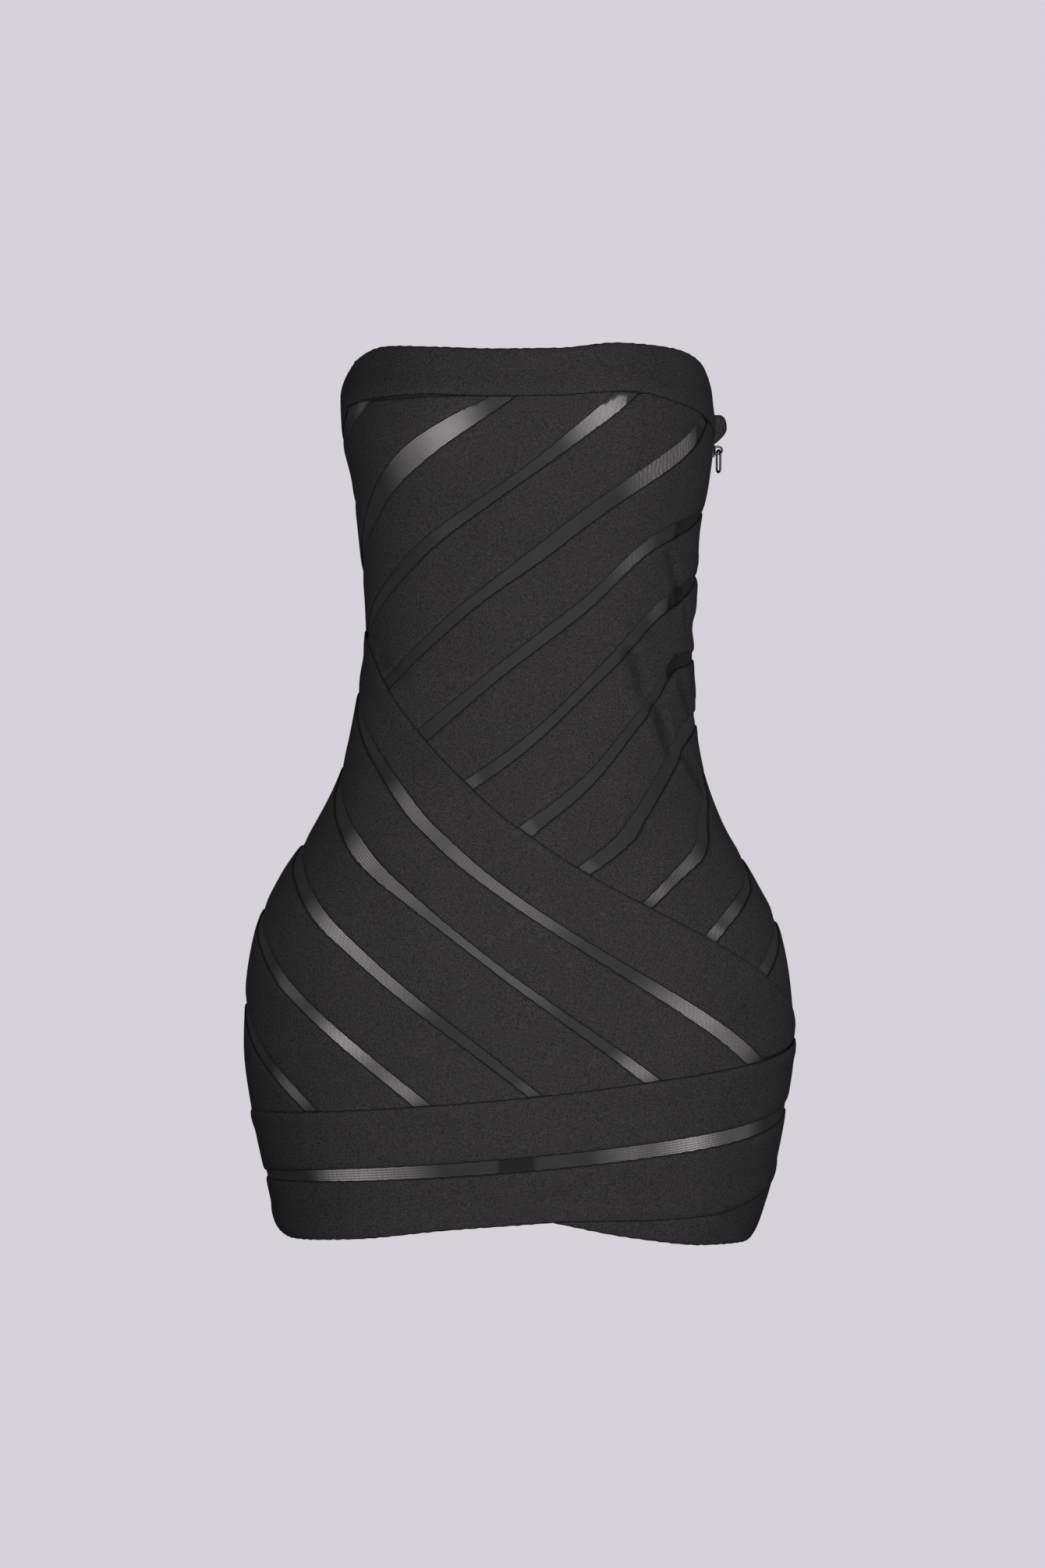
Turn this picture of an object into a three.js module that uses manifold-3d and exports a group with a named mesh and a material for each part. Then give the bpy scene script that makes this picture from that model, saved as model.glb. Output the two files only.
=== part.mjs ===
// A strapless bodycon dress, filled out with no wearer: knit bandage strips sewn on a sheer mesh ground,
// with a zip in the side seam. Millimetres, +Z up. The front faces -Y and the zip is on the +X side.
// The origin is at the centre of the chest ring, level with the top band, where the chest holds it up.
import * as THREE from 'three';
import Module from 'manifold-3d';
import { mergeVertices } from 'three/addons/utils/BufferGeometryUtils.js';

const wasm = await Module();
wasm.setup();

// Cloth
const MESH_WALL = 1.2;
const BAND_WALL = 1.2;
const BAND_LIFT = 1.0;          // from the ground's face to the inside of a strip that lies on it
const LAP_LIFT = 3.1;           // the same where a strip laps over the ends of others
const LAP = 5;                  // how far an end reaches under the strip that laps over it
const LAP_REACH = 12;           // depth of the lifted part of a lapping strip
const TRIM = 1;                 // the ground ends this far inside the edge strips
const SEAM_GAP = 0.3;
const STRIP_INSET = 0.4;        // how far a strip stays inside its panel at the seams
const SHORTEST_END = 2.5;       // a strip's pointed end is cut off at this depth
const THINNEST_GAP = 0.4;       // between two strips past the end of their gap
const TALLEST_FACET = 21;
const COLUMNS = 18;
const GROUND_ROWS = 32;

// Zip, in the right side seam
const ZIP_SEAM = 87;            // degrees from the centre front
const ZIP_END = -306;
const SLOT_CLOSING = 16;        // the slot narrows to the seam over this height
const ZIP_SLOT = 3.4;           // half the slot between the panels
const CHAIN = { halfWidth: 2.7, top: -43.1, inside: -1.8, outside: 0.9 };
const TAPE = { nearEdge: 0.4, farEdge: 13, top: -13, bottom: -310, outside: -2.4, inside: -3.4 };
const FACING = { from: 0.81, to: 0.975, top: -24, bottom: -206, outside: -4.1, inside: -5.3 };
const SLIDER = { height: 9, width: 6, foot: 4.6, middle: -38.2, inside: -1.9, outside: 3.9, bevel: 0.3 };
const BAIL = { width: 1.6, length: 6.4, rise: 5.4, holeLength: 3.8, holeRise: 4.2, reach: 0.8 };
const PULL = { length: 17.5, width: 7.2, bar: 1.3, bevel: 0.3, pivotHeight: -37.6, turn: 24 };
const GUARD = {
  top: -12, bottom: -33.2, root: -1.9, reach: 12, swell: -22, foot: 3, thickness: 3, bevel: 0.5,
};

// A short piece behind the mesh of the hem gap
const STAY = { from: 0.473, to: 0.523, top: -542, bottom: -556, outside: -1.7, inside: -2.9 };

// Rings of the filled-out dress at each height, over its strips
const rings = table('height left right front back', [
  [45, -127, 134, 104, 84],
  [20, -129.5, 137, 108, 86],
  [0, -133, 139.5, 110, 88],
  [-30, -131.5, 139.5, 108, 88],
  [-60, -124.8, 136.4, 101, 86],
  [-100, -120, 129.5, 91, 82],
  [-150, -115.3, 127, 86, 76],
  [-172, -114.5, 125, 85, 75],
  [-203, -119, 126, 88, 78],
  [-235, -124.3, 127, 93, 83],
  [-270, -132.5, 132.5, 98, 93],
  [-310, -151.5, 146.5, 104, 107],
  [-350, -178, 169.5, 109, 120],
  [-390, -196, 188.8, 112, 127],
  [-430, -202.3, 196, 113, 128],
  [-470, -203.6, 198.6, 112, 125],
  [-520, -197.5, 192.3, 110, 117],
  [-570, -187, 182, 108, 110],
  [-600, -180, 173, 106, 106],
  [-622, -174, 168, 105, 104],
]);
const RING_SQUARENESS = 0.05;
const CUP = { angle: 35, height: -42, rise: 12.5, halfAngle: 25, halfHeight: 55 };

// The left side seam leans forward at the bust
const leftSeam = table('height angle', [
  [60, -66],
  [0, -67],
  [-40, -72],
  [-80, -80],
  [-120, -86],
  [-160, -87],
  [-700, -87],
]);

// Edges across the front: heights at even steps from the left seam (0) to the zip seam (1)
const frontLines = {
  top: [23, 30.5, 28, 26, 26.5, 31, 29.5, 22, -11],
  topBandFoot: [-10, -8, -7, -8.5, -8, -5, -12, -20, -30],
  wrap: [-169, -187, -225, -269, -311, -353, -392, -425, -450],
  hemBandTop: [-518, -513, -502, -484, -466],
  hemLeft: [-598, -607, -604, -596, -590.4],
  hemRight: [-590.4, -602.5, -609.5, -610.5, -596],
};
const HEM_NOTCH = 0.544;         // the hem's two lines meet here in a corner
const cornerBandTop = lineThrough([-590, -590, -588, -577, -566], HEM_NOTCH, 1);

// Gaps between the front's strips, where the mesh shows: five even steps from end to end along the
// upper edge, then the gap's height at four even steps
const frontGaps = table('name from to h0 h1 h2 h3 h4 d0 d1 d2 d3', [
  ['upper0', 0, 0.13, -10, -9.2, -8.6, -8.2, -8, 25, 17.5, 9.3, 0],
  ['upper1', 0.05, 0.45, -101, -70, -38, -12.5, 1.8, 18, 25, 19, 1],
  ['upper2', 0.05, 0.62, -163, -133, -95, -51, 0.3, 11.7, 11.9, 10.4, 16.2],
  ['upper3', 0.18, 0.88, -210, -157, -108, -48, -8.8, 14, 9.7, 17, 12],
  ['upper4', 0.3, 0.92, -243, -194, -150, -100, -83, 15, 10.6, 11.3, 8.6],
  ['upper5', 0.4, 0.93, -280, -241, -192, -147, -129, 11, 9.4, 12.3, 9.2],
  ['upper6', 0.5, 0.97, -313, -276, -229, -188, -185, 11.9, 10, 9.9, 7.1],
  ['upper7', 0.58, 0.97, -342, -310, -269, -237, -228, 9.3, 11.8, 14.6, 12.3],
  ['upper8', 0.66, 0.93, -367, -343, -324, -300, -281, 7, 7.9, 12, 10.2],
  ['upper9', 0.73, 0.96, -393, -373, -360, -350, -338, 11, 8.4, 7, 6],
  ['upper10', 0.83, 0.98, -414, -402, -392, -383, -374, 12, 13, 13, 12],
  ['lower1', 0, 0.82, -204, -255, -326, -403, -475, 10.2, 10.9, 8.8, 14.7],
  ['lower2', 0, 0.68, -262, -299, -351, -423, -495, 10.7, 11.5, 6.9, 10.4],
  ['lower3', 0, 0.53, -317, -339, -381, -440, -502, 10.1, 11.2, 10.2, 7.4],
  ['lower4', 0, 0.4, -365, -387, -422, -463, -510, 15.5, 12.6, 10, 11.3],
  ['lower5', 0, 0.26, -431, -446, -466, -491, -521, 14.8, 14.3, 11.9, 10.2],
  ['hem', 0, 1, -562, -555, -545, -529, -508, 5.3, 8.7, 9.7, 10.7],
]);

// Edges and gaps across the back, from the zip seam round to the left seam, each a dipping arc
const backEdges = table('name zipSide centre leftSide gap', [
  ['top', -11, -36, 23, 0],
  ['gap0', -30, -74, -10, 9],
  ['gap1', -77, -122, -62, 10],
  ['gap2', -121, -170, -119, 11],
  ['gap3', -180, -218, -172, 10],
  ['gap4', -228, -266, -204, 11],
  ['gap5', -273, -314, -257, 11],
  ['gap6', -332, -362, -316, 10],
  ['gap7', -373, -410, -362, 10],
  ['gap8', -424, -457, -431, 10],
  ['hemBandTop', -466, -505, -518, 0],
  ['hemGap', -508, -550, -558, 9],
  ['hem', -596, -607, -598, 0],
]);

const bandCloth = new THREE.MeshStandardMaterial({ name: 'bandage knit', color: 0x37363a, roughness: 0.9 });
const meshCloth = new THREE.MeshStandardMaterial({ name: 'sheer mesh', color: 0x77757c, roughness: 0.8 });
const zipCloth = new THREE.MeshStandardMaterial({ name: 'zip tape', color: 0x242327, roughness: 0.9 });
const metal = new THREE.MeshStandardMaterial({
  name: 'zip metal', color: 0x5e5f63, roughness: 0.3, metalness: 1,
});
const coil = new THREE.MeshStandardMaterial({ name: 'zip coil', color: 0x252528, roughness: 0.4 });

function table(columns, rows) {
  const names = columns.split(' ');
  return rows.map((row) => Object.fromEntries(names.map((name, i) => [name, row[i]])));
}

// A smooth line through points of rising x that never overshoots, straight beyond its ends
function smoothLine(xs, ys) {
  const last = xs.length - 1;
  const slopes = xs.slice(1).map((x, i) => (ys[i + 1] - ys[i]) / (x - xs[i]));
  const tangents = xs.map((x, i) => {
    if (i === 0) return slopes[0];
    if (i === last) return slopes[last - 1];
    const [before, after] = [slopes[i - 1], slopes[i]];
    return before * after <= 0 ? 0 : (2 * before * after) / (before + after);
  });
  return (x) => {
    if (x <= xs[0]) return ys[0] + tangents[0] * (x - xs[0]);
    if (x >= xs[last]) return ys[last] + tangents[last] * (x - xs[last]);
    let i = 0;
    while (x > xs[i + 1]) i += 1;
    const step = xs[i + 1] - xs[i];
    const s = (x - xs[i]) / step;
    return ys[i] * (1 + 2 * s) * (1 - s) ** 2 + tangents[i] * step * s * (1 - s) ** 2
      + ys[i + 1] * s * s * (3 - 2 * s) + tangents[i + 1] * step * s * s * (s - 1);
  };
}

function lineThrough(heights, from = 0, to = 1) {
  return smoothLine(heights.map((_, i) => from + ((to - from) * i) / (heights.length - 1)), heights);
}

function columnLine(rows, key) {
  const rising = [...rows].sort((a, b) => a.height - b.height);
  return smoothLine(rising.map((row) => row.height), rising.map((row) => row[key]));
}

const ring = Object.fromEntries(
  ['left', 'right', 'front', 'back'].map((key) => [key, columnLine(rings, key)]),
);
const leftSeamAngle = columnLine(leftSeam, 'angle');

// The mesh ground's face at an angle from the centre front, in degrees toward the zip, and a height
function face(angle, height) {
  const a = THREE.MathUtils.degToRad(angle);
  const middle = (ring.left(height) + ring.right(height)) / 2;
  const halfWidth = (ring.right(height) - ring.left(height)) / 2;
  const depth = Math.cos(a) > 0 ? ring.front(height) : ring.back(height);
  const square = 1 + RING_SQUARENESS * Math.sin(2 * a) ** 2;
  const point = new THREE.Vector2(halfWidth * Math.sin(a) * square, -depth * Math.cos(a) * square);
  const cups = [-CUP.angle, CUP.angle].reduce((sum, cup) => sum + CUP.rise * Math.exp(
    -(((angle - cup) / CUP.halfAngle) ** 2) - ((height - CUP.height) / CUP.halfHeight) ** 2,
  ), 0);
  point.setLength(point.length() + cups - BAND_LIFT - BAND_WALL);
  return new THREE.Vector3(middle + point.x, point.y, height);
}

// The same point moved out along the cloth's normal
function raised(angle, height, out) {
  const step = 0.5;
  const across = face(angle + step, height).sub(face(angle - step, height));
  const up = face(angle, height + step).sub(face(angle, height - step));
  return face(angle, height).addScaledVector(across.cross(up).normalize(), out);
}

// Degrees that a distance along the cloth takes up at an angle and height
function degreesFor(distance, angle, height) {
  return distance / face(angle + 0.5, height).distanceTo(face(angle - 0.5, height));
}

// How far a panel or strip stays back from the zip seam: the slot closes below the zip
function zipRoom(height, extra) {
  const closing = THREE.MathUtils.smoothstep(height, ZIP_END - SLOT_CLOSING, ZIP_END);
  return SEAM_GAP / 2 + extra + closing * (ZIP_SLOT - SEAM_GAP / 2);
}

// Each panel's angle at a share of its width, 0 to 1
const panels = {
  front(share, height, extra) {
    const left = leftSeamAngle(height) + degreesFor(SEAM_GAP / 2 + extra, leftSeamAngle(height), height);
    const right = ZIP_SEAM - degreesFor(zipRoom(height, extra), ZIP_SEAM, height);
    return THREE.MathUtils.lerp(left, right, share);
  },
  back(share, height, extra) {
    const seam = leftSeamAngle(height);
    const left = 360 + seam - degreesFor(SEAM_GAP / 2 + extra, seam, height);
    const right = ZIP_SEAM + degreesFor(zipRoom(height, extra), ZIP_SEAM, height);
    return THREE.MathUtils.lerp(right, left, share);
  },
};

// A closed wall from two grids of points, the outer one and the inner one. Its cells are split along the
// diagonal that stands further out, or further in, so that a strip's facets clear the ground's.
function wallGeometry(outer, inner, splitOut = true) {
  const columns = outer.length;
  const rows = outer[0].length;
  const layer = columns * rows;
  const at = (i, j) => i * rows + j;
  const faces = [];
  const quad = (a, b, c, d) => faces.push(a, b, c, a, c, d);
  const axisDistance = (a, b) => Math.hypot(a.x + b.x, a.y + b.y);
  for (let i = 0; i + 1 < columns; i += 1) {
    for (let j = 0; j + 1 < rows; j += 1) {
      const [head, nextHead, nextFoot, foot] = [at(i, j), at(i + 1, j), at(i + 1, j + 1), at(i, j + 1)];
      const falling = axisDistance(outer[i][j], outer[i + 1][j + 1]);
      const rising = axisDistance(outer[i][j + 1], outer[i + 1][j]);
      const [a, b, c, d] = (falling > rising) === splitOut ? [head, foot, nextFoot, nextHead]
        : [foot, nextFoot, nextHead, head];
      quad(a, b, c, d);
      quad(layer + a, layer + d, layer + c, layer + b);
    }
    quad(at(i, 0), at(i + 1, 0), layer + at(i + 1, 0), layer + at(i, 0));
    quad(layer + at(i, rows - 1), layer + at(i + 1, rows - 1), at(i + 1, rows - 1), at(i, rows - 1));
  }
  for (let j = 0; j + 1 < rows; j += 1) {
    const end = columns - 1;
    quad(at(0, j), layer + at(0, j), layer + at(0, j + 1), at(0, j + 1));
    quad(at(end, j + 1), layer + at(end, j + 1), layer + at(end, j), at(end, j));
  }
  const points = [...outer.flat(), ...inner.flat()].flatMap((point) => point.toArray());
  const geometry = new THREE.BufferGeometry();
  geometry.setAttribute('position', new THREE.Float32BufferAttribute(points, 3));
  geometry.setIndex(faces);
  return geometry;
}

function addMesh(group, name, geometry, material) {
  const mesh = new THREE.Mesh(geometry, material.clone());
  mesh.name = name;
  group.add(mesh);
  return mesh;
}

// The stretch of a panel where a strip is deep enough to be cut
function reachOf(above, below) {
  const deep = (share) => above(share) - below(share) >= SHORTEST_END;
  const steps = 400;
  const shares = Array.from({ length: steps + 1 }, (_, i) => i / steps).filter(deep);
  return [shares[0], shares[shares.length - 1]];
}

function columnShares(from, to) {
  const nearest = 0.3 / COLUMNS;
  const inner = Array.from({ length: COLUMNS + 1 }, (_, i) => i / COLUMNS)
    .filter((share) => share > from + nearest && share < to - nearest);
  return [from, ...inner, to];
}

// A wall over part of a panel. lifts gives the inside's distance from the ground at each row: a row is
// a share of the height, or a depth from the upper edge (positive) or from the lower one (negative).
function panelWall({ panel, above, below, from, to, rows, thickness, extra = 0, splitOut = true }) {
  const grid = (out) => columnShares(from, to).map((share) => {
    const [high, low] = [above(share), below(share)];
    return rows.map(({ place, depth, lift }) => {
      const fixed = depth > 0 ? Math.max(high - depth, (high + low) / 2)
        : Math.min(low - depth, (high + low) / 2);
      const height = depth ? fixed : THREE.MathUtils.lerp(high, low, place);
      return raised(panels[panel](share, height, extra), height, lift + out);
    });
  });
  return wallGeometry(grid(thickness), grid(0), splitOut);
}

const flat = (place) => ({ place, lift: BAND_LIFT });
const lifted = (place) => ({ place, lift: LAP_LIFT });
const bandRows = {
  plain(tall) {
    const count = Math.max(1, Math.ceil(tall / TALLEST_FACET));
    return Array.from({ length: count + 1 }, (_, i) => flat(i / count));
  },
  headOver: () => [lifted(0), { depth: LAP_REACH, lift: LAP_LIFT }, flat(0.65), flat(1)],
  footOver: () => [flat(0), flat(0.35), { depth: -LAP_REACH, lift: LAP_LIFT }, lifted(1)],
};

function addBand(group, panel, name, above, below, lap = 'plain') {
  const [from, to] = reachOf(above, below);
  const tall = Math.max(...columnShares(from, to).map((share) => above(share) - below(share)));
  const rows = bandRows[lap](tall);
  const shape = { panel, above, below, from, to, rows, thickness: BAND_WALL, extra: STRIP_INSET };
  addMesh(group, name, panelWall(shape), bandCloth);
}

function gapEdges({ name, from, to, h0, h1, h2, h3, h4, d0, d1, d2, d3 }) {
  const upper = lineThrough([h0, h1, h2, h3, h4], from, to);
  const depth = lineThrough([d0, d1, d2, d3], from, to);
  const clamped = (share) => Math.max(depth(THREE.MathUtils.clamp(share, from, to)), THINNEST_GAP);
  return [name, { upper, lower: (share) => upper(share) - clamped(share) }];
}

const highest = (...lines) => (share) => Math.max(...lines.map((line) => line(share)));
const lowest = (...lines) => (share) => Math.min(...lines.map((line) => line(share)));
const moved = (line, distance) => (share) => line(share) + distance;

function addFront(group) {
  const reach = { hemLeft: [0, HEM_NOTCH], hemRight: [HEM_NOTCH, 1] };
  const line = Object.fromEntries(Object.entries(frontLines).map(
    ([key, heights]) => [key, lineThrough(heights, ...(reach[key] ?? []))],
  ));
  line.hem = (share) => (share < HEM_NOTCH ? line.hemLeft(share) : line.hemRight(share));
  const gap = Object.fromEntries(frontGaps.map(gapEdges));
  addGround(group, 'front', line.top, line.hem);
  addBand(group, 'front', 'front_top_band', line.top, line.topBandFoot, 'footOver');

  const underTopBand = moved(line.topBandFoot, LAP);
  const underWrap = moved(line.wrap, -LAP);
  const upperCount = 11;
  for (let i = 1; i <= upperCount; i += 1) {
    const above = lowest(gap[`upper${i - 1}`].lower, underTopBand);
    const below = i < upperCount ? highest(gap[`upper${i}`].upper, underWrap) : underWrap;
    addBand(group, 'front', `front_upper_band_${i}`, above, below);
  }

  const underHemBand = moved(line.hemBandTop, -LAP);
  const lowerCount = 6;
  for (let i = 1; i <= lowerCount; i += 1) {
    const above = i === 1 ? line.wrap : gap[`lower${i - 1}`].lower;
    const foot = i === 1 ? moved(line.hemBandTop, SEAM_GAP) : underHemBand;
    const below = i < lowerCount ? highest(gap[`lower${i}`].upper, foot) : foot;
    addBand(group, 'front', `front_wrap_band_${i}`, above, below, i === 1 ? 'headOver' : 'plain');
  }

  addBand(group, 'front', 'front_hem_band_1', line.hemBandTop, gap.hem.upper, 'headOver');
  const hemBandFoot = (share) => (share < HEM_NOTCH ? line.hem(share) : cornerBandTop(share));
  addBand(group, 'front', 'front_hem_band_2', gap.hem.lower, hemBandFoot, 'footOver');
  const corner = (share) => (share < HEM_NOTCH ? line.hem(share) : cornerBandTop(share) + LAP);
  addBand(group, 'front', 'front_hem_band_3', corner, line.hem);
}

function addBack(group) {
  const edges = Object.fromEntries(backEdges.map(({ name, zipSide, centre, leftSide, gap }) => {
    const dip = centre - (zipSide + leftSide) / 2;
    const upper = (share) => zipSide + (leftSide - zipSide) * share + dip * Math.sin(Math.PI * share);
    return [name, { upper, lower: moved(upper, -gap) }];
  }));
  addGround(group, 'back', edges.top.upper, edges.hem.upper);
  addBand(group, 'back', 'back_top_band', edges.top.upper, edges.gap0.upper);
  const count = 9;
  for (let i = 1; i < count; i += 1) {
    addBand(group, 'back', `back_band_${i}`, edges[`gap${i - 1}`].lower, edges[`gap${i}`].upper);
  }
  const underHemBand = moved(edges.hemBandTop.upper, -LAP);
  addBand(group, 'back', `back_band_${count}`, edges.gap8.lower, underHemBand);
  addBand(group, 'back', 'back_hem_band_1', edges.hemBandTop.upper, edges.hemGap.upper, 'headOver');
  addBand(group, 'back', 'back_hem_band_2', edges.hemGap.lower, edges.hem.upper);
}

function addGround(group, panel, top, hem) {
  const rows = Array.from({ length: GROUND_ROWS + 1 }, (_, i) => ({
    place: i / GROUND_ROWS, lift: -MESH_WALL,
  }));
  addMesh(group, `${panel}_mesh_ground`, panelWall({
    panel, above: moved(top, -TRIM), below: moved(hem, TRIM), from: 0, to: 1, rows,
    thickness: MESH_WALL, splitOut: false,
  }), meshCloth);
}

// A wall along the zip seam between two distances from it, positive toward the back
function seamWall(fromSeam, toSeam, top, bottom, outside, inside) {
  const tallestFacet = 22;
  const steps = Math.ceil((top - bottom) / tallestFacet);
  const grid = (out) => [fromSeam, (fromSeam + toSeam) / 2, toSeam].map((distance) => (
    Array.from({ length: steps + 1 }, (_, i) => {
      const height = THREE.MathUtils.lerp(top, bottom, i / steps);
      return raised(ZIP_SEAM + degreesFor(distance, ZIP_SEAM, height), height, out);
    })
  ));
  return wallGeometry(grid(outside), grid(inside));
}

function toSolid(geometry) {
  const plain = geometry.clone();
  plain.deleteAttribute('normal');
  plain.deleteAttribute('uv');
  const merged = mergeVertices(plain, 1e-4);
  return new wasm.Manifold(new wasm.Mesh({
    numProp: 3,
    vertProperties: new Float32Array(merged.attributes.position.array),
    triVerts: new Uint32Array(merged.index.array),
  }));
}

function toGeometry(solid) {
  const mesh = solid.getMesh();
  const geometry = new THREE.BufferGeometry();
  geometry.setAttribute('position', new THREE.BufferAttribute(new Float32Array(mesh.vertProperties), 3));
  geometry.setIndex(new THREE.BufferAttribute(new Uint32Array(mesh.triVerts), 1));
  return geometry;
}

function outline(points) {
  return new THREE.Shape(points.map(([x, y]) => new THREE.Vector2(x, y)));
}

// The slider and its bail, drawn with x along the seam's breadth, y up and z out of the dress
function sliderGeometry() {
  const { inside, outside, bevel } = SLIDER;
  const [w, foot, h] = [SLIDER.width / 2, SLIDER.foot / 2, SLIDER.height / 2];
  const body = new THREE.ExtrudeGeometry(
    outline([[-w, h], [-w, -h * 0.1], [-foot, -h], [foot, -h], [w, -h * 0.1], [w, h], [0, h * 0.8]]),
    { depth: outside - inside - 2 * bevel, bevelThickness: bevel, bevelSize: bevel, bevelOffset: -bevel,
      bevelSegments: 1 },
  ).translate(0, 0, inside + bevel);
  const half = BAIL.length / 2;
  const arch = outline([[-half, -BAIL.reach], [half, -BAIL.reach], [half, BAIL.rise * 0.55],
    [half * 0.6, BAIL.rise], [-half * 0.6, BAIL.rise], [-half, BAIL.rise * 0.55]]);
  const hole = BAIL.holeLength / 2;
  const eye = new THREE.Path([[-hole, 0], [-hole, BAIL.holeRise], [hole, BAIL.holeRise], [hole, 0]]
    .map(([x, y]) => new THREE.Vector2(x, y)));
  arch.holes.push(eye);
  const bail = new THREE.ExtrudeGeometry(arch, { depth: BAIL.width, bevelEnabled: false })
    .translate(0, 0, -BAIL.width / 2)
    .applyMatrix4(new THREE.Matrix4().makeBasis(
      new THREE.Vector3(0, 1, 0), new THREE.Vector3(0, 0, 1), new THREE.Vector3(1, 0, 0),
    ))
    .translate(0, PULL.pivotHeight - SLIDER.middle, outside);
  return toGeometry(toSolid(body).add(toSolid(bail)));
}

// A flat oval ring that hangs from the origin
function pullGeometry() {
  const roundEnd = (shape, width, length, middle) => {
    const straight = length / 2 - width / 2;
    shape.absarc(0, middle + straight, width / 2, 0, Math.PI, false);
    shape.absarc(0, middle - straight, width / 2, Math.PI, 2 * Math.PI, false);
    return shape;
  };
  const middle = PULL.bar / 2 - PULL.length / 2;
  const oval = roundEnd(new THREE.Shape(), PULL.width, PULL.length, middle);
  const inside = [PULL.width - 2 * PULL.bar, PULL.length - 2 * PULL.bar];
  oval.holes.push(roundEnd(new THREE.Path(), inside[0], inside[1], middle));
  return new THREE.ExtrudeGeometry(oval, {
    depth: PULL.bar - 2 * PULL.bevel,
    bevelThickness: PULL.bevel,
    bevelSize: PULL.bevel,
    bevelOffset: -PULL.bevel,
    bevelSegments: 1,
    curveSegments: 8,
  }).translate(0, 0, PULL.bevel - PULL.bar / 2);
}

// The rounded cloth tab over the zip's top end, drawn in the plane of out and up
function guardGeometry() {
  const { top, bottom, root, reach, swell, foot } = GUARD;
  const shape = new THREE.Shape();
  shape.moveTo(root, bottom);
  shape.lineTo(foot, bottom);
  shape.quadraticCurveTo(reach, THREE.MathUtils.lerp(bottom, swell, 0.6), reach, swell);
  shape.quadraticCurveTo(reach, top, foot * 2, top);
  shape.lineTo(root, top);
  return new THREE.ExtrudeGeometry(shape, {
    depth: GUARD.thickness - 2 * GUARD.bevel,
    bevelThickness: GUARD.bevel,
    bevelSize: GUARD.bevel,
    bevelOffset: -GUARD.bevel,
    bevelSegments: 2,
    curveSegments: 8,
  }).translate(0, 0, GUARD.bevel - GUARD.thickness / 2);
}

function addZip(group) {
  const tapeWall = (side) => seamWall(
    side > 0 ? TAPE.nearEdge : -TAPE.farEdge,
    side > 0 ? TAPE.farEdge : -TAPE.nearEdge,
    TAPE.top, TAPE.bottom, TAPE.outside, TAPE.inside,
  );
  addMesh(group, 'zip_tape_front', tapeWall(-1), zipCloth);
  addMesh(group, 'zip_tape_back', tapeWall(1), zipCloth);
  addMesh(group, 'zip_chain', seamWall(-CHAIN.halfWidth, CHAIN.halfWidth, CHAIN.top, ZIP_END,
    CHAIN.outside, CHAIN.inside), coil);
  const facingRows = Array.from({ length: 9 }, (_, i) => ({ place: i / 8, lift: FACING.inside }));
  addMesh(group, 'zip_facing', panelWall({
    panel: 'front', above: () => FACING.top, below: () => FACING.bottom, from: FACING.from, to: FACING.to,
    rows: facingRows, thickness: FACING.outside - FACING.inside,
  }), zipCloth);

  // These stand square to the side of the dress: their x is toward the back and their z is out
  const seat = face(ZIP_SEAM, SLIDER.middle);
  const square = new THREE.Matrix4().makeBasis(
    new THREE.Vector3(0, 1, 0), new THREE.Vector3(0, 0, 1), new THREE.Vector3(1, 0, 0),
  );
  const slider = addMesh(group, 'zip_slider', sliderGeometry(), metal);
  slider.quaternion.setFromRotationMatrix(square);
  slider.position.copy(seat);
  const pull = addMesh(group, 'zip_pull', pullGeometry(), metal);
  pull.quaternion.setFromRotationMatrix(square);
  pull.rotateY(THREE.MathUtils.degToRad(PULL.turn));
  pull.position.set(seat.x + SLIDER.outside + BAIL.holeRise / 2, seat.y, PULL.pivotHeight);
  const guard = addMesh(group, 'zip_guard', guardGeometry(), bandCloth);
  guard.rotation.x = Math.PI / 2;
  guard.position.set(seat.x, seat.y, 0);
}

function addStay(group) {
  addMesh(group, 'hem_stay', panelWall({
    panel: 'front', above: () => STAY.top, below: () => STAY.bottom, from: STAY.from, to: STAY.to,
    rows: [{ place: 0, lift: STAY.inside }, { place: 1, lift: STAY.inside }],
    thickness: STAY.outside - STAY.inside,
  }), bandCloth);
}

const dress = new THREE.Group();
addFront(dress);
addBack(dress);
addZip(dress);
addStay(dress);

export default dress;
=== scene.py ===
# A strapless bodycon dress, filled out with no wearer: knit strips sewn on a sheer mesh ground, with a
# zip in the side seam. The cloth's sizes are in millimetres until a mesh is made.
import math

import bpy
import numpy as np
from mathutils import Matrix, Vector


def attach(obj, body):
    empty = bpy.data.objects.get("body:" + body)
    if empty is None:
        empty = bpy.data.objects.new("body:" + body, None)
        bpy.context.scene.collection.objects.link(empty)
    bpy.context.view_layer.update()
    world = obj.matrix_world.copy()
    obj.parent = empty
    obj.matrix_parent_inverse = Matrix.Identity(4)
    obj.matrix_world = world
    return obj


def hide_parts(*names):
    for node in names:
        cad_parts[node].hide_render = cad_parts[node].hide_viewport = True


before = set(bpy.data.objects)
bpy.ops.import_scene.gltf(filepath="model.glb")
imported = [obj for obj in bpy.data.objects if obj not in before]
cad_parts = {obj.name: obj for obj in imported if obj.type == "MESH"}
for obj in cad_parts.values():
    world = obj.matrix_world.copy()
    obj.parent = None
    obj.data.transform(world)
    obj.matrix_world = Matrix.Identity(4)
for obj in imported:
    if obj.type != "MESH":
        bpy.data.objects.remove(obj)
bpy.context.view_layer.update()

MM = 0.001

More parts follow.
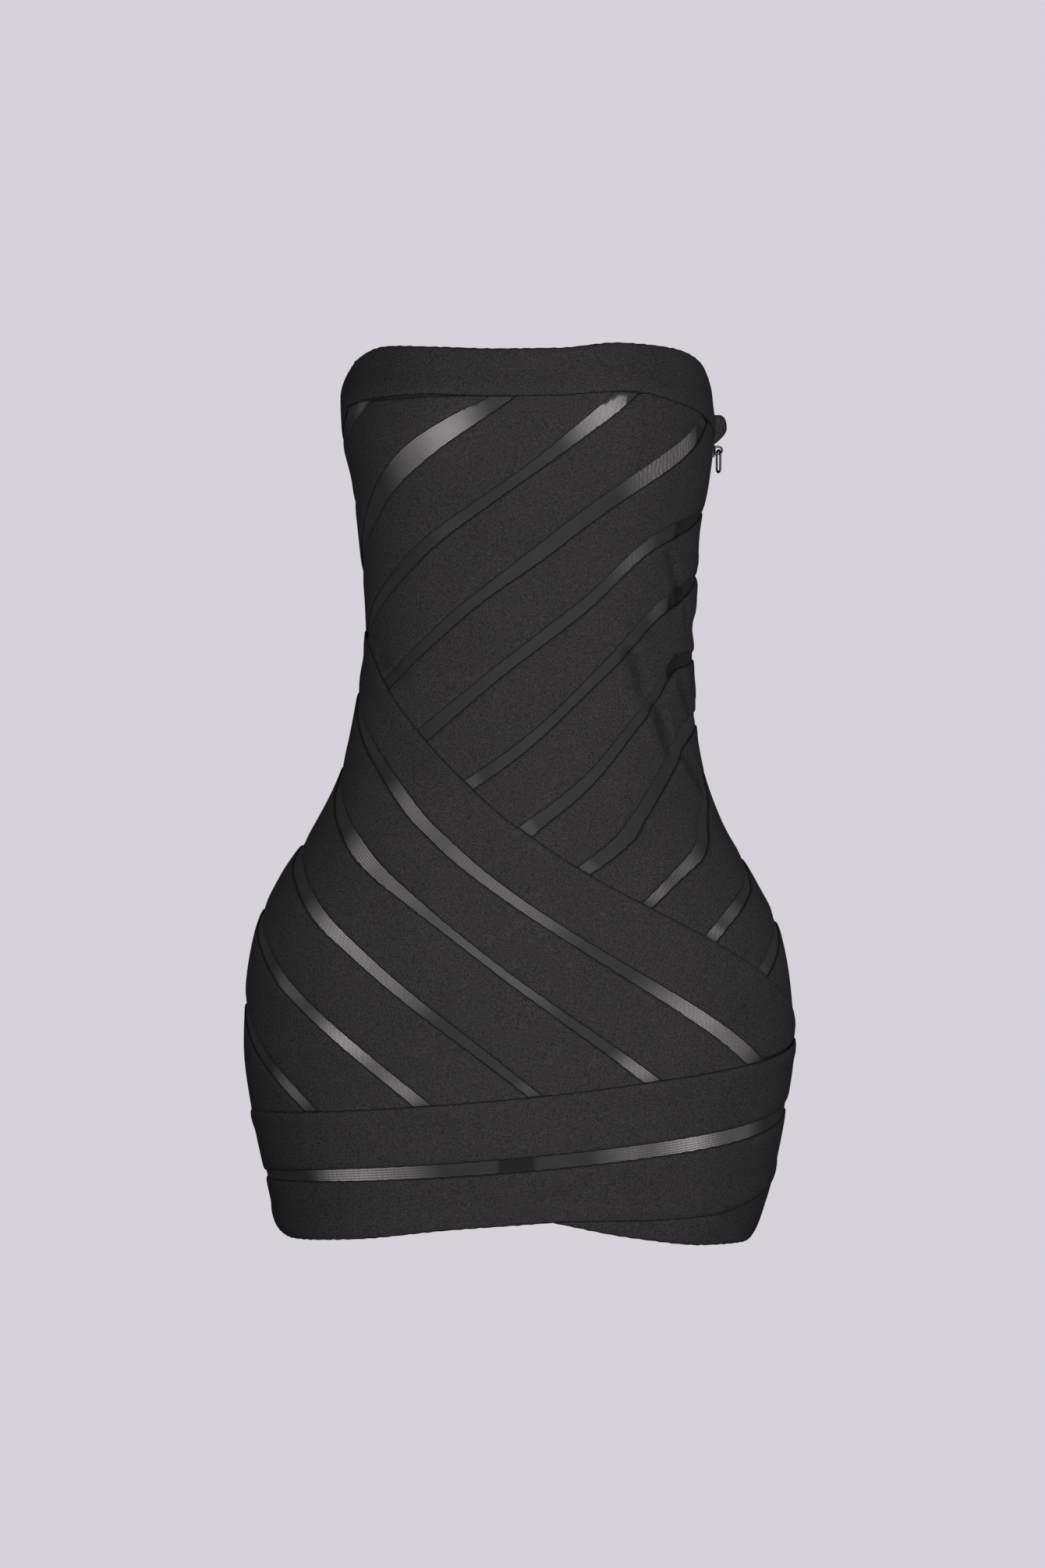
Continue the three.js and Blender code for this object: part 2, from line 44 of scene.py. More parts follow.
# The cloth: walls, and distances out from the mesh ground's face
STRIP_WALL = 0.9
STRIP_FACE = 2.2
LAP_RISE = 1.25                 # a lapping edge rides this much higher than a plain one
LAP_FLAT = 6.5                  # over this depth, and is down again at LAP_FOOT
LAP_FOOT = 16
GROUND_WALL = 0.4
GROUND_FACE = 0.5               # the ground's face, out from the CAD's
BAND_LIFT = 1.0                 # RINGS run over bands that stand this far off the ground,
BAND_WALL = 1.2                 # and are this thick

# Joints and edges
LAP = 5                         # a covered end goes on this far under the piece over it
TRIM = 1                        # the ground ends this far inside the top and hem edges
SEAM_GAP = 0.3                  # between the panels at a sewn seam
STRIP_INSET = 0.1               # a strip ends this much short of its ground at a seam
SEAM_LAP = 1.5                  # the back's ground goes this far under the front's at a sewn seam,
SEAM_LAP_SINK = 0.6             # this much lower,
SEAM_LAP_RISE = 6               # and is up again at this distance
SHORTEST_END = 2.5              # a strip stops where it is only this deep
THINNEST_GAP = 0.4
RIPPLE = 0.3                    # the sewn edges run this much in and out

# How fine the grids are
COLUMN_STEP = 3.0
ROW_STEP = 5.0
TRIM_STEP = 4
GROUND_COLUMNS, GROUND_ROWS = 150, 230

# How a strip's face rounds down at its edge: distance in from the edge, and how far below its face
EDGE_ROUNDING = [(0, 1.5), (0.25, 1.05), (0.7, 0.62), (1.5, 0.3), (3.0, 0.1), (5.0, 0.0)]
HEAD_SEAM_SHADOW = 0.95                # the dark line at a strip's edge, the seam's own dark and painted shadow, fades out over this depth at its head, and over this one at its foot, where it is this strong on a foot that laps over nothing
FOOT_SEAM_SHADOW = 0.75                # and over this one at its foot,
PLAIN_FOOT_SEAM_SHADOW = 0.6           # where it is this strong on a foot that laps over nothing

# The zip, in the right side seam: the seam's angle, the zip's lower end, the height over which the
# slot closes below it, and the slot's half width
ZIP_SEAM = 87
ZIP_END = -306
SLOT_CLOSING = 16
ZIP_SLOT = 3.4
TAPE = dict(near=0.4, far=13, top=-13, bottom=-310, outside=-2.4, wall=0.8)
FACING = dict(start=0.81, end=0.975, top=-24, bottom=-206, outside=-4.1, wall=1.0)
CHAIN = dict(top=-43.6, bottom=-305, pitch=1.3, across=0.85, out=-0.5)
TOOTH = dict(length=3.4, radius=0.42, thickness=1.5, rounding=0.36)
SLIDER = dict(width=6, foot=4.6, height=9, middle=-38.2, inside=-1.9, plate=3.0, crown=3.9,
              mouth_low=-0.5, mouth_high=0.9, mouth_rim=0.15, mouth_depth=0.5,
              crown_inset=1.0, crown_taper=(0.7, 0.8, 1), rounding=0.22)
BAIL = dict(radius=2.55, wire=0.78, half_width=0.8, reach=9.3, root=2.2)
PULL = dict(radius=2.85, wire=0.82, straight=10.3, out=6.0, height=-37.6, turn=24)
GUARD = dict(root=-1.9, top=-12, bottom=-33.2, swell=-22, foot=3, shoulder=6, reach=12, thickness=3,
             rounding=0.8, rim=0.9, rows=26, columns=16)
STITCH = dict(length=1.5, radius=0.17, rounding=0.12)
STITCH_LINE = dict(inset=1.7, step=2.1, groove=0.45)
STAY = dict(start=0.473, end=0.523, top=-542, bottom=-556, outside=-1.7, wall=1.0)


def table(columns, rows):
    names = columns.split()
    return {name: np.array([row[i] for row in rows]) for i, name in enumerate(names)}


# Rings of the filled-out dress at each height, over its strips
RINGS = table("height left right front back", [
    (45, -127, 134, 104, 84),
    (20, -129.5, 137, 108, 86),
    (0, -133, 139.5, 110, 88),
    (-30, -131.5, 139.5, 108, 88),
    (-60, -124.8, 136.4, 101, 86),
    (-100, -120, 129.5, 91, 82),
    (-150, -115.3, 127, 86, 76),
    (-172, -114.5, 125, 85, 75),
    (-203, -119, 126, 88, 78),
    (-235, -124.3, 127, 93, 83),
    (-270, -132.5, 132.5, 98, 93),
    (-310, -151.5, 146.5, 104, 107),
    (-350, -178, 169.5, 109, 120),
    (-390, -196, 188.8, 112, 127),
    (-430, -202.3, 196, 113, 128),
    (-470, -203.6, 198.6, 112, 125),
    (-520, -197.5, 192.3, 110, 117),
    (-570, -187, 182, 108, 110),
    (-600, -180, 173, 106, 106),
    (-622, -174, 168, 105, 104),
])
RING_SQUARENESS = 0.05
CUP = dict(angle=35, height=-42, rise=12.5, half_angle=25, half_height=55)
LEFT_SEAM = table("height angle", [
    (60, -66), (0, -67), (-40, -72), (-80, -80), (-120, -86), (-160, -87), (-700, -87),
])

# Soft troughs that the pull of the cloth leaves, from one point to another
CREASES = table("angle0 height0 angle1 height1 half_width depth", [
    (50, -117, 57, -144, 5, 1.9),
    (63, -150, 67, -165, 4, 1.3),
    (36, -188, 41, -219, 5.5, 2.0),
    (46, -226, 51, -256, 6, 2.6),
    (61, -209, 69, -228, 6, 1.9),
    (60, -262, 68, -282, 6, 2.0),
    (-58, -188, -44, -204, 7, 1.0),
    (84, -127, 92, -129, 5, 1.6),
    (82, -164, 94, -168, 8, 1.6),
    (84, -224, 96, -230, 6, 2.0),
    (112, -150, 126, -172, 6, 1.1),
    (205, -199, 228, -189, 8, 0.6),
    (150, -214, 172, -226, 8, 0.6),
    (236, -238, 250, -222, 6, 0.9),
])
MM_PER_DEGREE = 2.1             # round the waist, where the troughs are
RIDGE_SHARE, RIDGE_AWAY = 0.35, 1.9     # a low ridge beside each: its height and place for the trough's
DARKEST_DEPTH = 2.2             # a trough this deep has its full painted shade

# Edges across the front: heights at even steps from the left seam (0) to the zip seam (1)
FRONT_LINES = {
    "top": [23, 30.5, 28, 26, 26.5, 31, 29.5, 22, -11],
    "top_band_foot": [-10, -8, -7, -8.5, -8, -5, -12, -20, -30],
    "wrap": [-169, -187, -225, -269, -311, -353, -392, -425, -450],
    "hem_band_top": [-518, -513, -502, -484, -466],
}
HEM_NOTCH = 0.544               # the hem's two lines meet here in a corner
HEM_LEFT = [-598, -607, -604, -596, -590.4]
HEM_RIGHT = [-590.4, -602.5, -609.5, -610.5, -596]
CORNER_BAND_TOP = [-590, -590, -588, -577, -566]

# Gaps between the front's strips, where the mesh shows: five even steps from end to end along the
# upper edge, then the gap's height at four even steps
FRONT_GAPS = {
    "upper0": (0, 0.13, -10, -9.2, -8.6, -8.2, -8, 25, 17.5, 9.3, 0),
    "upper1": (0.05, 0.45, -101, -70, -38, -12.5, 1.8, 18, 25, 19, 1),
    "upper2": (0.05, 0.62, -163, -133, -95, -51, 0.3, 11.7, 11.9, 10.4, 16.2),
    "upper3": (0.18, 0.88, -210, -157, -108, -48, -8.8, 14, 9.7, 17, 12),
    "upper4": (0.3, 0.92, -243, -194, -150, -100, -83, 15, 10.6, 11.3, 8.6),
    "upper5": (0.4, 0.93, -280, -241, -192, -147, -129, 11, 9.4, 12.3, 9.2),
    "upper6": (0.5, 0.97, -313, -276, -229, -188, -185, 11.9, 10, 9.9, 7.1),
    "upper7": (0.58, 0.97, -342, -310, -269, -237, -228, 9.3, 11.8, 14.6, 12.3),
    "upper8": (0.66, 0.93, -367, -343, -324, -300, -281, 7, 7.9, 12, 10.2),
    "upper9": (0.73, 0.96, -393, -373, -360, -350, -338, 11, 8.4, 7, 6),
    "upper10": (0.83, 0.98, -414, -402, -392, -383, -374, 12, 13, 13, 12),
    "lower1": (0, 0.82, -204, -255, -326, -403, -475, 10.2, 10.9, 8.8, 14.7),
    "lower2": (0, 0.68, -262, -299, -351, -423, -495, 10.7, 11.5, 6.9, 10.4),
    "lower3": (0, 0.53, -317, -339, -381, -440, -502, 10.1, 11.2, 10.2, 7.4),
    "lower4": (0, 0.4, -365, -387, -422, -463, -510, 15.5, 12.6, 10, 11.3),
    "lower5": (0, 0.26, -431, -446, -466, -491, -521, 14.8, 14.3, 11.9, 10.2),
    "hem": (0, 1, -562, -555, -545, -529, -508, 5.3, 8.7, 9.7, 10.7),
}

# Edges across the back, from the zip seam round to the left seam: height at each end and in the
# middle, and the depth of the gap below
BACK_EDGES = {
    "top": (-11, -36, 23, 0),
    "gap0": (-30, -74, -10, 9),
    "gap1": (-77, -122, -62, 10),
    "gap2": (-121, -170, -119, 11),
    "gap3": (-180, -218, -172, 10),
    "gap4": (-228, -266, -204, 11),
    "gap5": (-273, -314, -257, 11),
    "gap6": (-332, -362, -316, 10),
    "gap7": (-373, -410, -362, 10),
    "gap8": (-424, -457, -431, 10),
    "hem_band_top": (-466, -505, -518, 0),
    "hem_gap": (-508, -550, -558, 9),
    "hem": (-596, -607, -598, 0),
}

# Soft glows of light through the stretched mesh of each gap, painted into its colour: middle and half
# length as shares of the front's width, strength
MESH_UNLIT = 0.19
MESH_GLOWS = {
    "upper0": [(0, 0.03, 0.05), (0.09, 0.04, 0.2)],
    "upper1": [(0.26, 0.09, 0.25), (0.32, 0.07, 0.3)],
    "upper2": [(0.34, 0.06, 0.05), (0.59, 0.09, 0.4)],
    "upper3": [(0.69, 0.06, 0.2), (0.76, 0.08, 0.25)],
    "upper4": [(0.71, 0.07, 0.15)],
    "upper5": [(0.42, 0.02, 0.1), (0.78, 0.04, 0.1)],
    "upper6": [(0.52, 0.02, 0.1)],
    "upper7": [(0.6, 0.02, 0.1)],
    "upper8": [(0.69, 0.03, 0.2), (0.73, 0.05, 0.15), (0.77, 0.05, 0.15)],
    "upper9": [(0.76, 0.02, 0.25), (0.8, 0.05, 0.15)],
    "upper10": [(0.85, 0.02, 0.1)],
    "lower1": [(0.32, 0.08, 0.25), (0.42, 0.1, 0.2), (0.51, 0.09, 0.2), (0.72, 0.1, 0.35),
               (0.79, 0.05, 0.15)],
    "lower2": [(0.27, 0.08, 0.3), (0.35, 0.07, 0.2), (0.43, 0.07, 0.15), (0.5, 0.07, 0.15),
               (0.64, 0.04, 0.3)],
    "lower3": [(0.27, 0.09, 0.4), (0.35, 0.07, 0.25), (0.51, 0.02, 0.1)],
    "lower4": [(0, 0.03, 0.15), (0.2, 0.06, 0.2), (0.29, 0.07, 0.45), (0.36, 0.04, 0.3)],
    "lower5": [(0.2, 0.05, 0.25)],
    "hem": [(0.27, 0.08, 0.35), (0.34, 0.08, 0.25), (0.64, 0.07, 0.2), (0.72, 0.07, 0.4), (0.8, 0.07, 0.2)],
}
BACK_GLOWS = [(0.3, 0.13, 0.3), (0.52, 0.06, 0.15), (0.71, 0.12, 0.3)]
BACK_GLOW_SHIFT = 0.04          # the back gaps' glows sit up to this much to one side, each gap its own
GLOW_FADE = (2.5, 7)            # past a gap's edges, its glow fades out between these distances
# how strongly each gap's mesh wrinkles across it, the rest slightly: as bumps, and as bands of painted
# light and shade in its colour
CROSS_WRINKLES = {"upper1": 0, "upper3": 1, "upper4": 0.7, "upper8": 0.6, "upper9": 0.6}
SLIGHT_WRINKLES = 0.25


# Lines and surfaces

def smooth_line(xs, ys):
    """A smooth line through points of rising x that never overshoots, straight beyond its ends."""
    xs, ys = np.asarray(xs, float), np.asarray(ys, float)
    slopes = np.diff(ys) / np.diff(xs)
    tangents = np.concatenate([[slopes[0]], np.zeros(len(xs) - 2), [slopes[-1]]])
    for i in range(1, len(xs) - 1):
        before, after = slopes[i - 1], slopes[i]
        tangents[i] = 0 if before * after <= 0 else 2 * before * after / (before + after)

    def line(x):
        x = np.asarray(x, float)
        i = np.clip(np.searchsorted(xs, x, side="left") - 1, 0, len(xs) - 2)
        step = xs[i + 1] - xs[i]
        s = np.clip((x - xs[i]) / step, 0, 1)
        y = (ys[i] * (1 + 2 * s) * (1 - s) ** 2 + tangents[i] * step * s * (1 - s) ** 2
             + ys[i + 1] * s * s * (3 - 2 * s) + tangents[i + 1] * step * s * s * (s - 1))
        y = y + np.minimum(x - xs[0], 0) * tangents[0]
        return y + np.maximum(x - xs[-1], 0) * tangents[-1]

    return line


def line_through(heights, start=0.0, end=1.0):
    return smooth_line(np.linspace(start, end, len(heights)), heights)


def column_line(rows, key):
    order = np.argsort(rows["height"])
    return smooth_line(rows["height"][order], rows[key][order])


RING = {key: column_line(RINGS, key) for key in ("left", "right", "front", "back")}
left_seam_angle = column_line(LEFT_SEAM, "angle")


def smooth_step(x, low, high):
    t = np.clip((x - low) / max(high - low, 1e-6), 0, 1)
    return t * t * (3 - 2 * t)


def face(angle, height):
    """The ground's face at an angle from the centre front, in degrees toward the zip, and a height."""
    a = np.radians(angle)
    left, right = RING["left"](height), RING["right"](height)
    depth = np.where(np.cos(a) > 0, RING["front"](height), RING["back"](height))
    square = 1 + RING_SQUARENESS * np.sin(2 * a) ** 2
    x = (right - left) / 2 * np.sin(a) * square
    y = -depth * np.cos(a) * square
    out = -BAND_LIFT - BAND_WALL
    for cup in (-CUP["angle"], CUP["angle"]):
        out = out + CUP["rise"] * np.exp(
            -((angle - cup) / CUP["half_angle"]) ** 2
            - ((height - CUP["height"]) / CUP["half_height"]) ** 2)
    scale = 1 + out / np.hypot(x, y)
    return np.stack([(left + right) / 2 + x * scale, y * scale, height + 0 * x], axis=-1)


def crease_depth(angle, height):
    """How far the drag troughs take the cloth in."""
    total = 0
    for i in range(len(CREASES["depth"])):
        start = np.array([CREASES["angle0"][i] * MM_PER_DEGREE, CREASES["height0"][i]])
        end = np.array([CREASES["angle1"][i] * MM_PER_DEGREE, CREASES["height1"][i]])
        point = np.stack([angle * MM_PER_DEGREE, height], axis=-1) - start
        way = end - start
        along = np.clip((point @ way) / (way @ way), 0, 1)
        distance = np.linalg.norm(point - along[..., None] * way, axis=-1)
        width = CREASES["half_width"][i]
        ridge = RIDGE_SHARE * np.exp(-((distance - RIDGE_AWAY * width) / width) ** 2)
        total = total + CREASES["depth"][i] * (np.exp(-(distance / width) ** 2) - ridge)
    return total


def fold_shade(angle, height):
    """How far down in a trough a point is, from 0 to 1: how much painted shade it gets."""
    return np.clip(crease_depth(angle, height) / DARKEST_DEPTH, 0, 1)


def raised(angle, height, out):
    """The same point moved out along the cloth's normal, with the creases."""
    angle, height = np.broadcast_arrays(np.asarray(angle, float), np.asarray(height, float))
    step = 0.5
    across = face(angle + step, height) - face(angle - step, height)
    up = face(angle, height + step) - face(angle, height - step)
    normal = np.cross(across, up)
    normal /= np.linalg.norm(normal, axis=-1, keepdims=True)
    return face(angle, height) + normal * (out - crease_depth(angle, height))[..., None]


def degrees_for(distance, angle, height):
    """The angle that a distance along the cloth takes up there."""
    chord = face(angle + 0.5, height) - face(angle - 0.5, height)
    return distance / np.linalg.norm(chord, axis=-1)


def zip_opening(height):
    """From 0 at the sewn seam to 1 where the zip is."""
    return smooth_step(height, ZIP_END - SLOT_CLOSING, ZIP_END)


def panel_angle(panel, share, height, extra, lap=0.0):
    """A panel's angle at a share of its width: the front runs from the left seam, the back from the
    zip. extra is how far it stops short of its seams, lap how far it goes on past a sewn one."""
    seam = left_seam_angle(height)
    opening = zip_opening(height)
    zip_room = SEAM_GAP / 2 + extra + opening * (ZIP_SLOT - SEAM_GAP / 2) - lap * (1 - opening)
    at_left = degrees_for(SEAM_GAP / 2 + extra - lap, seam, height)
    at_zip = degrees_for(zip_room, ZIP_SEAM + 0 * height, height)
    if panel == "front":
        start, end = seam + at_left, ZIP_SEAM - at_zip
    else:
        start, end = ZIP_SEAM + at_zip, 360 + seam - at_left
    return start + (end - start) * share


# Meshes

def deselect():
    if bpy.context.object and bpy.context.object.mode != "OBJECT":
        bpy.ops.object.mode_set(mode="OBJECT")
    bpy.ops.object.select_all(action="DESELECT")


def select_only(obj):
    deselect()
    obj.select_set(True)
    bpy.context.view_layer.objects.active = obj


def apply_modifier(obj, kind, **settings):
    select_only(obj)
    modifier = obj.modifiers.new(kind.title(), kind)
    for key, value in settings.items():
        setattr(modifier, key, value)
    bpy.ops.object.modifier_apply(modifier=modifier.name)


def smooth(obj, degrees):
    select_only(obj)
    bpy.ops.object.shade_smooth_by_angle(angle=math.radians(degrees))


def cloth_grid(name, points, uv, wall, marks=None):
    """A closed sheet from a grid of points in mm, columns first and rows from the foot up: a grid
    primitive laid on them, with its own length and depth as its UV map in metres, and then walled."""
    columns, rows = points.shape[:2]
    deselect()
    bpy.ops.mesh.primitive_grid_add(x_subdivisions=columns - 1, y_subdivisions=rows - 1, size=1)
    obj = bpy.context.object
    obj.name = obj.data.name = name
    mesh = obj.data
    flat = np.empty(len(mesh.vertices) * 3)
    mesh.vertices.foreach_get("co", flat)
    flat = flat.reshape(-1, 3)
    column = np.rint((flat[:, 0] + 0.5) * (columns - 1)).astype(int)
    row = np.rint((flat[:, 1] + 0.5) * (rows - 1)).astype(int)
    mesh.vertices.foreach_set("co", (points[column, row] * MM).ravel())
    corners = np.empty(len(mesh.loops), int)
    mesh.loops.foreach_get("vertex_index", corners)
    mesh.uv_layers[0].name = "cloth"
    mesh.uv_layers[0].data.foreach_set("uv", (uv[column, row][corners] * MM).ravel())
    for key, values in (marks or {}).items():
        mark = mesh.attributes.new(key, "FLOAT", "POINT")
        mark.data.foreach_set("value", values[column, row])
    mesh.update()
    apply_modifier(obj, "SOLIDIFY", thickness=wall * MM, offset=-1, use_rim=True)
    smooth(obj, 50)
    return obj


def lengths_along(points, axis):
    steps = np.linalg.norm(np.diff(points, axis=axis), axis=-1)
    start = np.zeros_like(np.take(steps, [0], axis=axis))
    return np.concatenate([start, np.cumsum(steps, axis=axis)], axis=axis)


def dress_piece(obj, material, slot, *nodes, body="dress"):
    obj.data.materials.clear()
    obj.data.materials.append(material)
    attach(obj, body)
    if nodes:
        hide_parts(*nodes)
    return obj


def declare_sheet(points, with_pieces=()):
    """Works out the cut from the piece's own grid, its longest length and its widest depth, held to what
    leaves the cut a fair share of that rectangle, and then drops it."""
    least_share = 0.35
    length = lengths_along(points, 0)[-1].max() * MM
    depth = lengths_along(points, 1)[:, -1].max() * MM
    a, b = points[1:, 1:] - points[:-1, :-1], points[1:, :-1] - points[:-1, 1:]
    area = np.linalg.norm(np.cross(a, b), axis=-1).sum() / 2 * MM ** 2
    depth = min(depth, area / length / least_share)


# Strips

def gap_edges(spec):
    start, end = spec[:2]
    upper = line_through(spec[2:7], start, end)
    depth = line_through(spec[7:], start, end)

    def lower(share):
        return upper(share) - np.maximum(depth(np.clip(share, start, end)), THINNEST_GAP)

    return upper, lower


def highest(*lines):
    return lambda share: np.maximum.reduce([line(share) for line in lines])


def lowest(*lines):
    return lambda share: np.minimum.reduce([line(share) for line in lines])


def moved(line, distance):
    return lambda share: line(share) + distance


def reach_of(above, below):
    """The shares that a strip between two edges starts and ends at."""
    shares = np.linspace(0, 1, 401)
    deep = shares[above(shares) - below(shares) >= SHORTEST_END]
    return deep[0], deep[-1]


def rounding(distance):
    """How far a strip's face is down at a distance in from its edge."""
    return np.interp(distance, *zip(*EDGE_ROUNDING))


def ripple(along, phase):
    """The small waves of a sewn edge, with the length along it in mm, each edge from its own phase."""
    long_wave, short_wave = 9.3, 5.1
    return RIPPLE * (0.65 * np.sin(2 * np.pi * along / long_wave + phase)
                     + 0.35 * np.sin(2 * np.pi * along / short_wave + 2.7 * phase))


def lap_rise(distance):
    return LAP_RISE * (1 - smooth_step(distance, LAP_FLAT, LAP_FOOT))


def strip(name, panel, above, below, lap=None):
    """A knit strip between two edge lines, its edges rounded down to the mesh. lap is the edge that
    rides over the ends of other strips: head or foot."""
    flattest = 0.3
    start, end = reach_of(above, below)
    middle = np.linspace(start, end, 60)
    line = raised(panel_angle(panel, middle, above(middle), STRIP_INSET), above(middle), 0)
    length = np.linalg.norm(np.diff(line, axis=0), axis=-1).sum()
    ins = np.array(EDGE_ROUNDING)[:, 0]
    ends = ins[:-1] / length
    rounded = ins[-1] / length
    inner = np.linspace(rounded, 1 - rounded, max(4, int(length / COLUMN_STEP)))
    places = np.concatenate([ends, inner, 1 - ends[::-1]])
    shares = start + (end - start) * places
    high = above(shares) + ripple(places * length, start * 40)
    low = below(shares) + ripple(places * length, end * 50 + 2)

    edge = raised(panel_angle(panel, shares, high, STRIP_INSET), high, 0)
    way = np.gradient(edge, axis=0)
    lean = np.clip(np.hypot(way[:, 0], way[:, 1]) / np.linalg.norm(way, axis=-1), flattest, 1)
    true_depth = (high - low) * lean
    rows_between = max(2, int(np.median(true_depth) / ROW_STEP))
    squeeze = np.minimum(1, true_depth / 2 / (ins[-1] + 0.5))
    head = ins[None, :] * squeeze[:, None]
    foot = true_depth[:, None] - head[:, ::-1]
    steps = np.linspace(0, 1, rows_between + 1)[None, 1:-1]
    between = head[:, -1:] + (foot[:, :1] - head[:, -1:]) * steps
    depths = np.concatenate([head, between, foot], axis=1)[:, ::-1]     # rows from the foot up

    height = high[:, None] - depths / lean[:, None]
    angle = panel_angle(panel, shares[:, None] + 0 * height, height, STRIP_INSET)
    from_head, from_foot = depths, true_depth[:, None] - depths
    from_end = np.minimum(places, 1 - places)[:, None] * length
    down = np.maximum(rounding(np.minimum(from_head, from_foot)), rounding(from_end))
    out = STRIP_FACE - down
    if lap:
        out = out + lap_rise(from_head if lap == "head" else from_foot)
    points = raised(angle, height, out)
    along = (places * length)[:, None] + 0 * height
    # the dark line along each edge: the seam's own dark and painted shadow, strongest under a lapping foot
    head_seam_shadow = np.exp(-(from_head / HEAD_SEAM_SHADOW) ** 2)
    foot_seam_shadow = np.exp(-(from_foot / FOOT_SEAM_SHADOW) ** 2) * (1.0 if lap == "foot" else PLAIN_FOOT_SEAM_SHADOW)
    marks = {"seam": np.maximum(head_seam_shadow, foot_seam_shadow), "painted_crease_shade": fold_shade(angle, height)}
    obj = cloth_grid(name, points, np.stack([along, -depths], axis=-1), STRIP_WALL, marks)
    dress_piece(obj, knit, "band", name)
    declare_sheet(points)


def make_front_strips():
    lines = {key: line_through(heights) for key, heights in FRONT_LINES.items()}
    hem_left, hem_right = line_through(HEM_LEFT, 0, HEM_NOTCH), line_through(HEM_RIGHT, HEM_NOTCH, 1)
    lines["hem"] = lambda share: np.where(share < HEM_NOTCH, hem_left(share), hem_right(share))
    gaps = {key: gap_edges(spec) for key, spec in FRONT_GAPS.items()}
    strip("front_top_band", "front", lines["top"], lines["top_band_foot"], "foot")

    under_top_band = moved(lines["top_band_foot"], LAP)
    under_wrap = moved(lines["wrap"], -LAP)
    count = 11
    for i in range(1, count + 1):
        above = lowest(gaps[f"upper{i - 1}"][1], under_top_band)
        below = highest(gaps[f"upper{i}"][0], under_wrap) if i < count else under_wrap
        strip(f"front_upper_band_{i}", "front", above, below)

    under_hem_band = moved(lines["hem_band_top"], -LAP)
    count = 6
    for i in range(1, count + 1):
        above = lines["wrap"] if i == 1 else gaps[f"lower{i - 1}"][1]
        foot = moved(lines["hem_band_top"], SEAM_GAP) if i == 1 else under_hem_band
        below = highest(gaps[f"lower{i}"][0], foot) if i < count else foot
        strip(f"front_wrap_band_{i}", "front", above, below, "head" if i == 1 else None)

    strip("front_hem_band_1", "front", lines["hem_band_top"], gaps["hem"][0], "head")
    corner_top = line_through(CORNER_BAND_TOP, HEM_NOTCH, 1)

    def corner_line(lift):
        return lambda share: np.where(share < HEM_NOTCH, lines["hem"](share), corner_top(share) + lift)

    strip("front_hem_band_2", "front", gaps["hem"][1], corner_line(0), "foot")
    strip("front_hem_band_3", "front", corner_line(LAP), lines["hem"])
    return lines, gaps


def back_edge_lines():
    """Each edge dips between its ends, and comes with the lower edge of the gap under it."""
    edges = {}
    for key, (zip_side, centre, left_side, gap) in BACK_EDGES.items():
        dip = centre - (zip_side + left_side) / 2

        def upper(share, a=zip_side, b=left_side, dip=dip):
            return a + (b - a) * share + dip * np.sin(np.pi * share)

        edges[key] = (upper, moved(upper, -gap))
    return edges


def make_back_strips():
    edges = back_edge_lines()
    strip("back_top_band", "back", edges["top"][0], edges["gap0"][0])
    count = 9
    for i in range(1, count):
        strip(f"back_band_{i}", "back", edges[f"gap{i - 1}"][1], edges[f"gap{i}"][0])
    strip(f"back_band_{count}", "back", edges["gap8"][1], moved(edges["hem_band_top"][0], -LAP))
    strip("back_hem_band_1", "back", edges["hem_band_top"][0], edges["hem_gap"][0], "head")
    strip("back_hem_band_2", "back", edges["hem_gap"][1], edges["hem"][0])
    return edges


# The mesh ground

def glow_along(share, glows):
    """The mesh's painted lightness from 0 to 1 at a share: the gap's soft glows, added to the unlit mesh's
    own.
    """
    lightness = MESH_UNLIT + 0 * share
    for middle, half, strength in glows:
        way = np.clip(np.abs(share - middle) / half, 0, 1)
        lightness = lightness + strength * np.cos(way * math.pi / 2) ** 2
    return lightness


def square_share(share, height, upper, lower, width):
    """The share of the gap's own middle line that a point is square to."""
    step = 0.01
    middle = (upper(share) + lower(share)) / 2
    slope = (upper(share + step) - upper(share - step)) / (2 * step * width)
    return share + (height - middle) * slope / (1 + slope ** 2) / width


def backing(share, height, *specs):
    """Where a dark piece is sewn behind the mesh."""
    behind = 0 * height
    for spec in specs:
        inside = (share > spec["start"]) & (share < spec["end"])
        behind = np.where(inside & (height < spec["top"]) & (height > spec["bottom"]), 1.0, behind)
    return behind


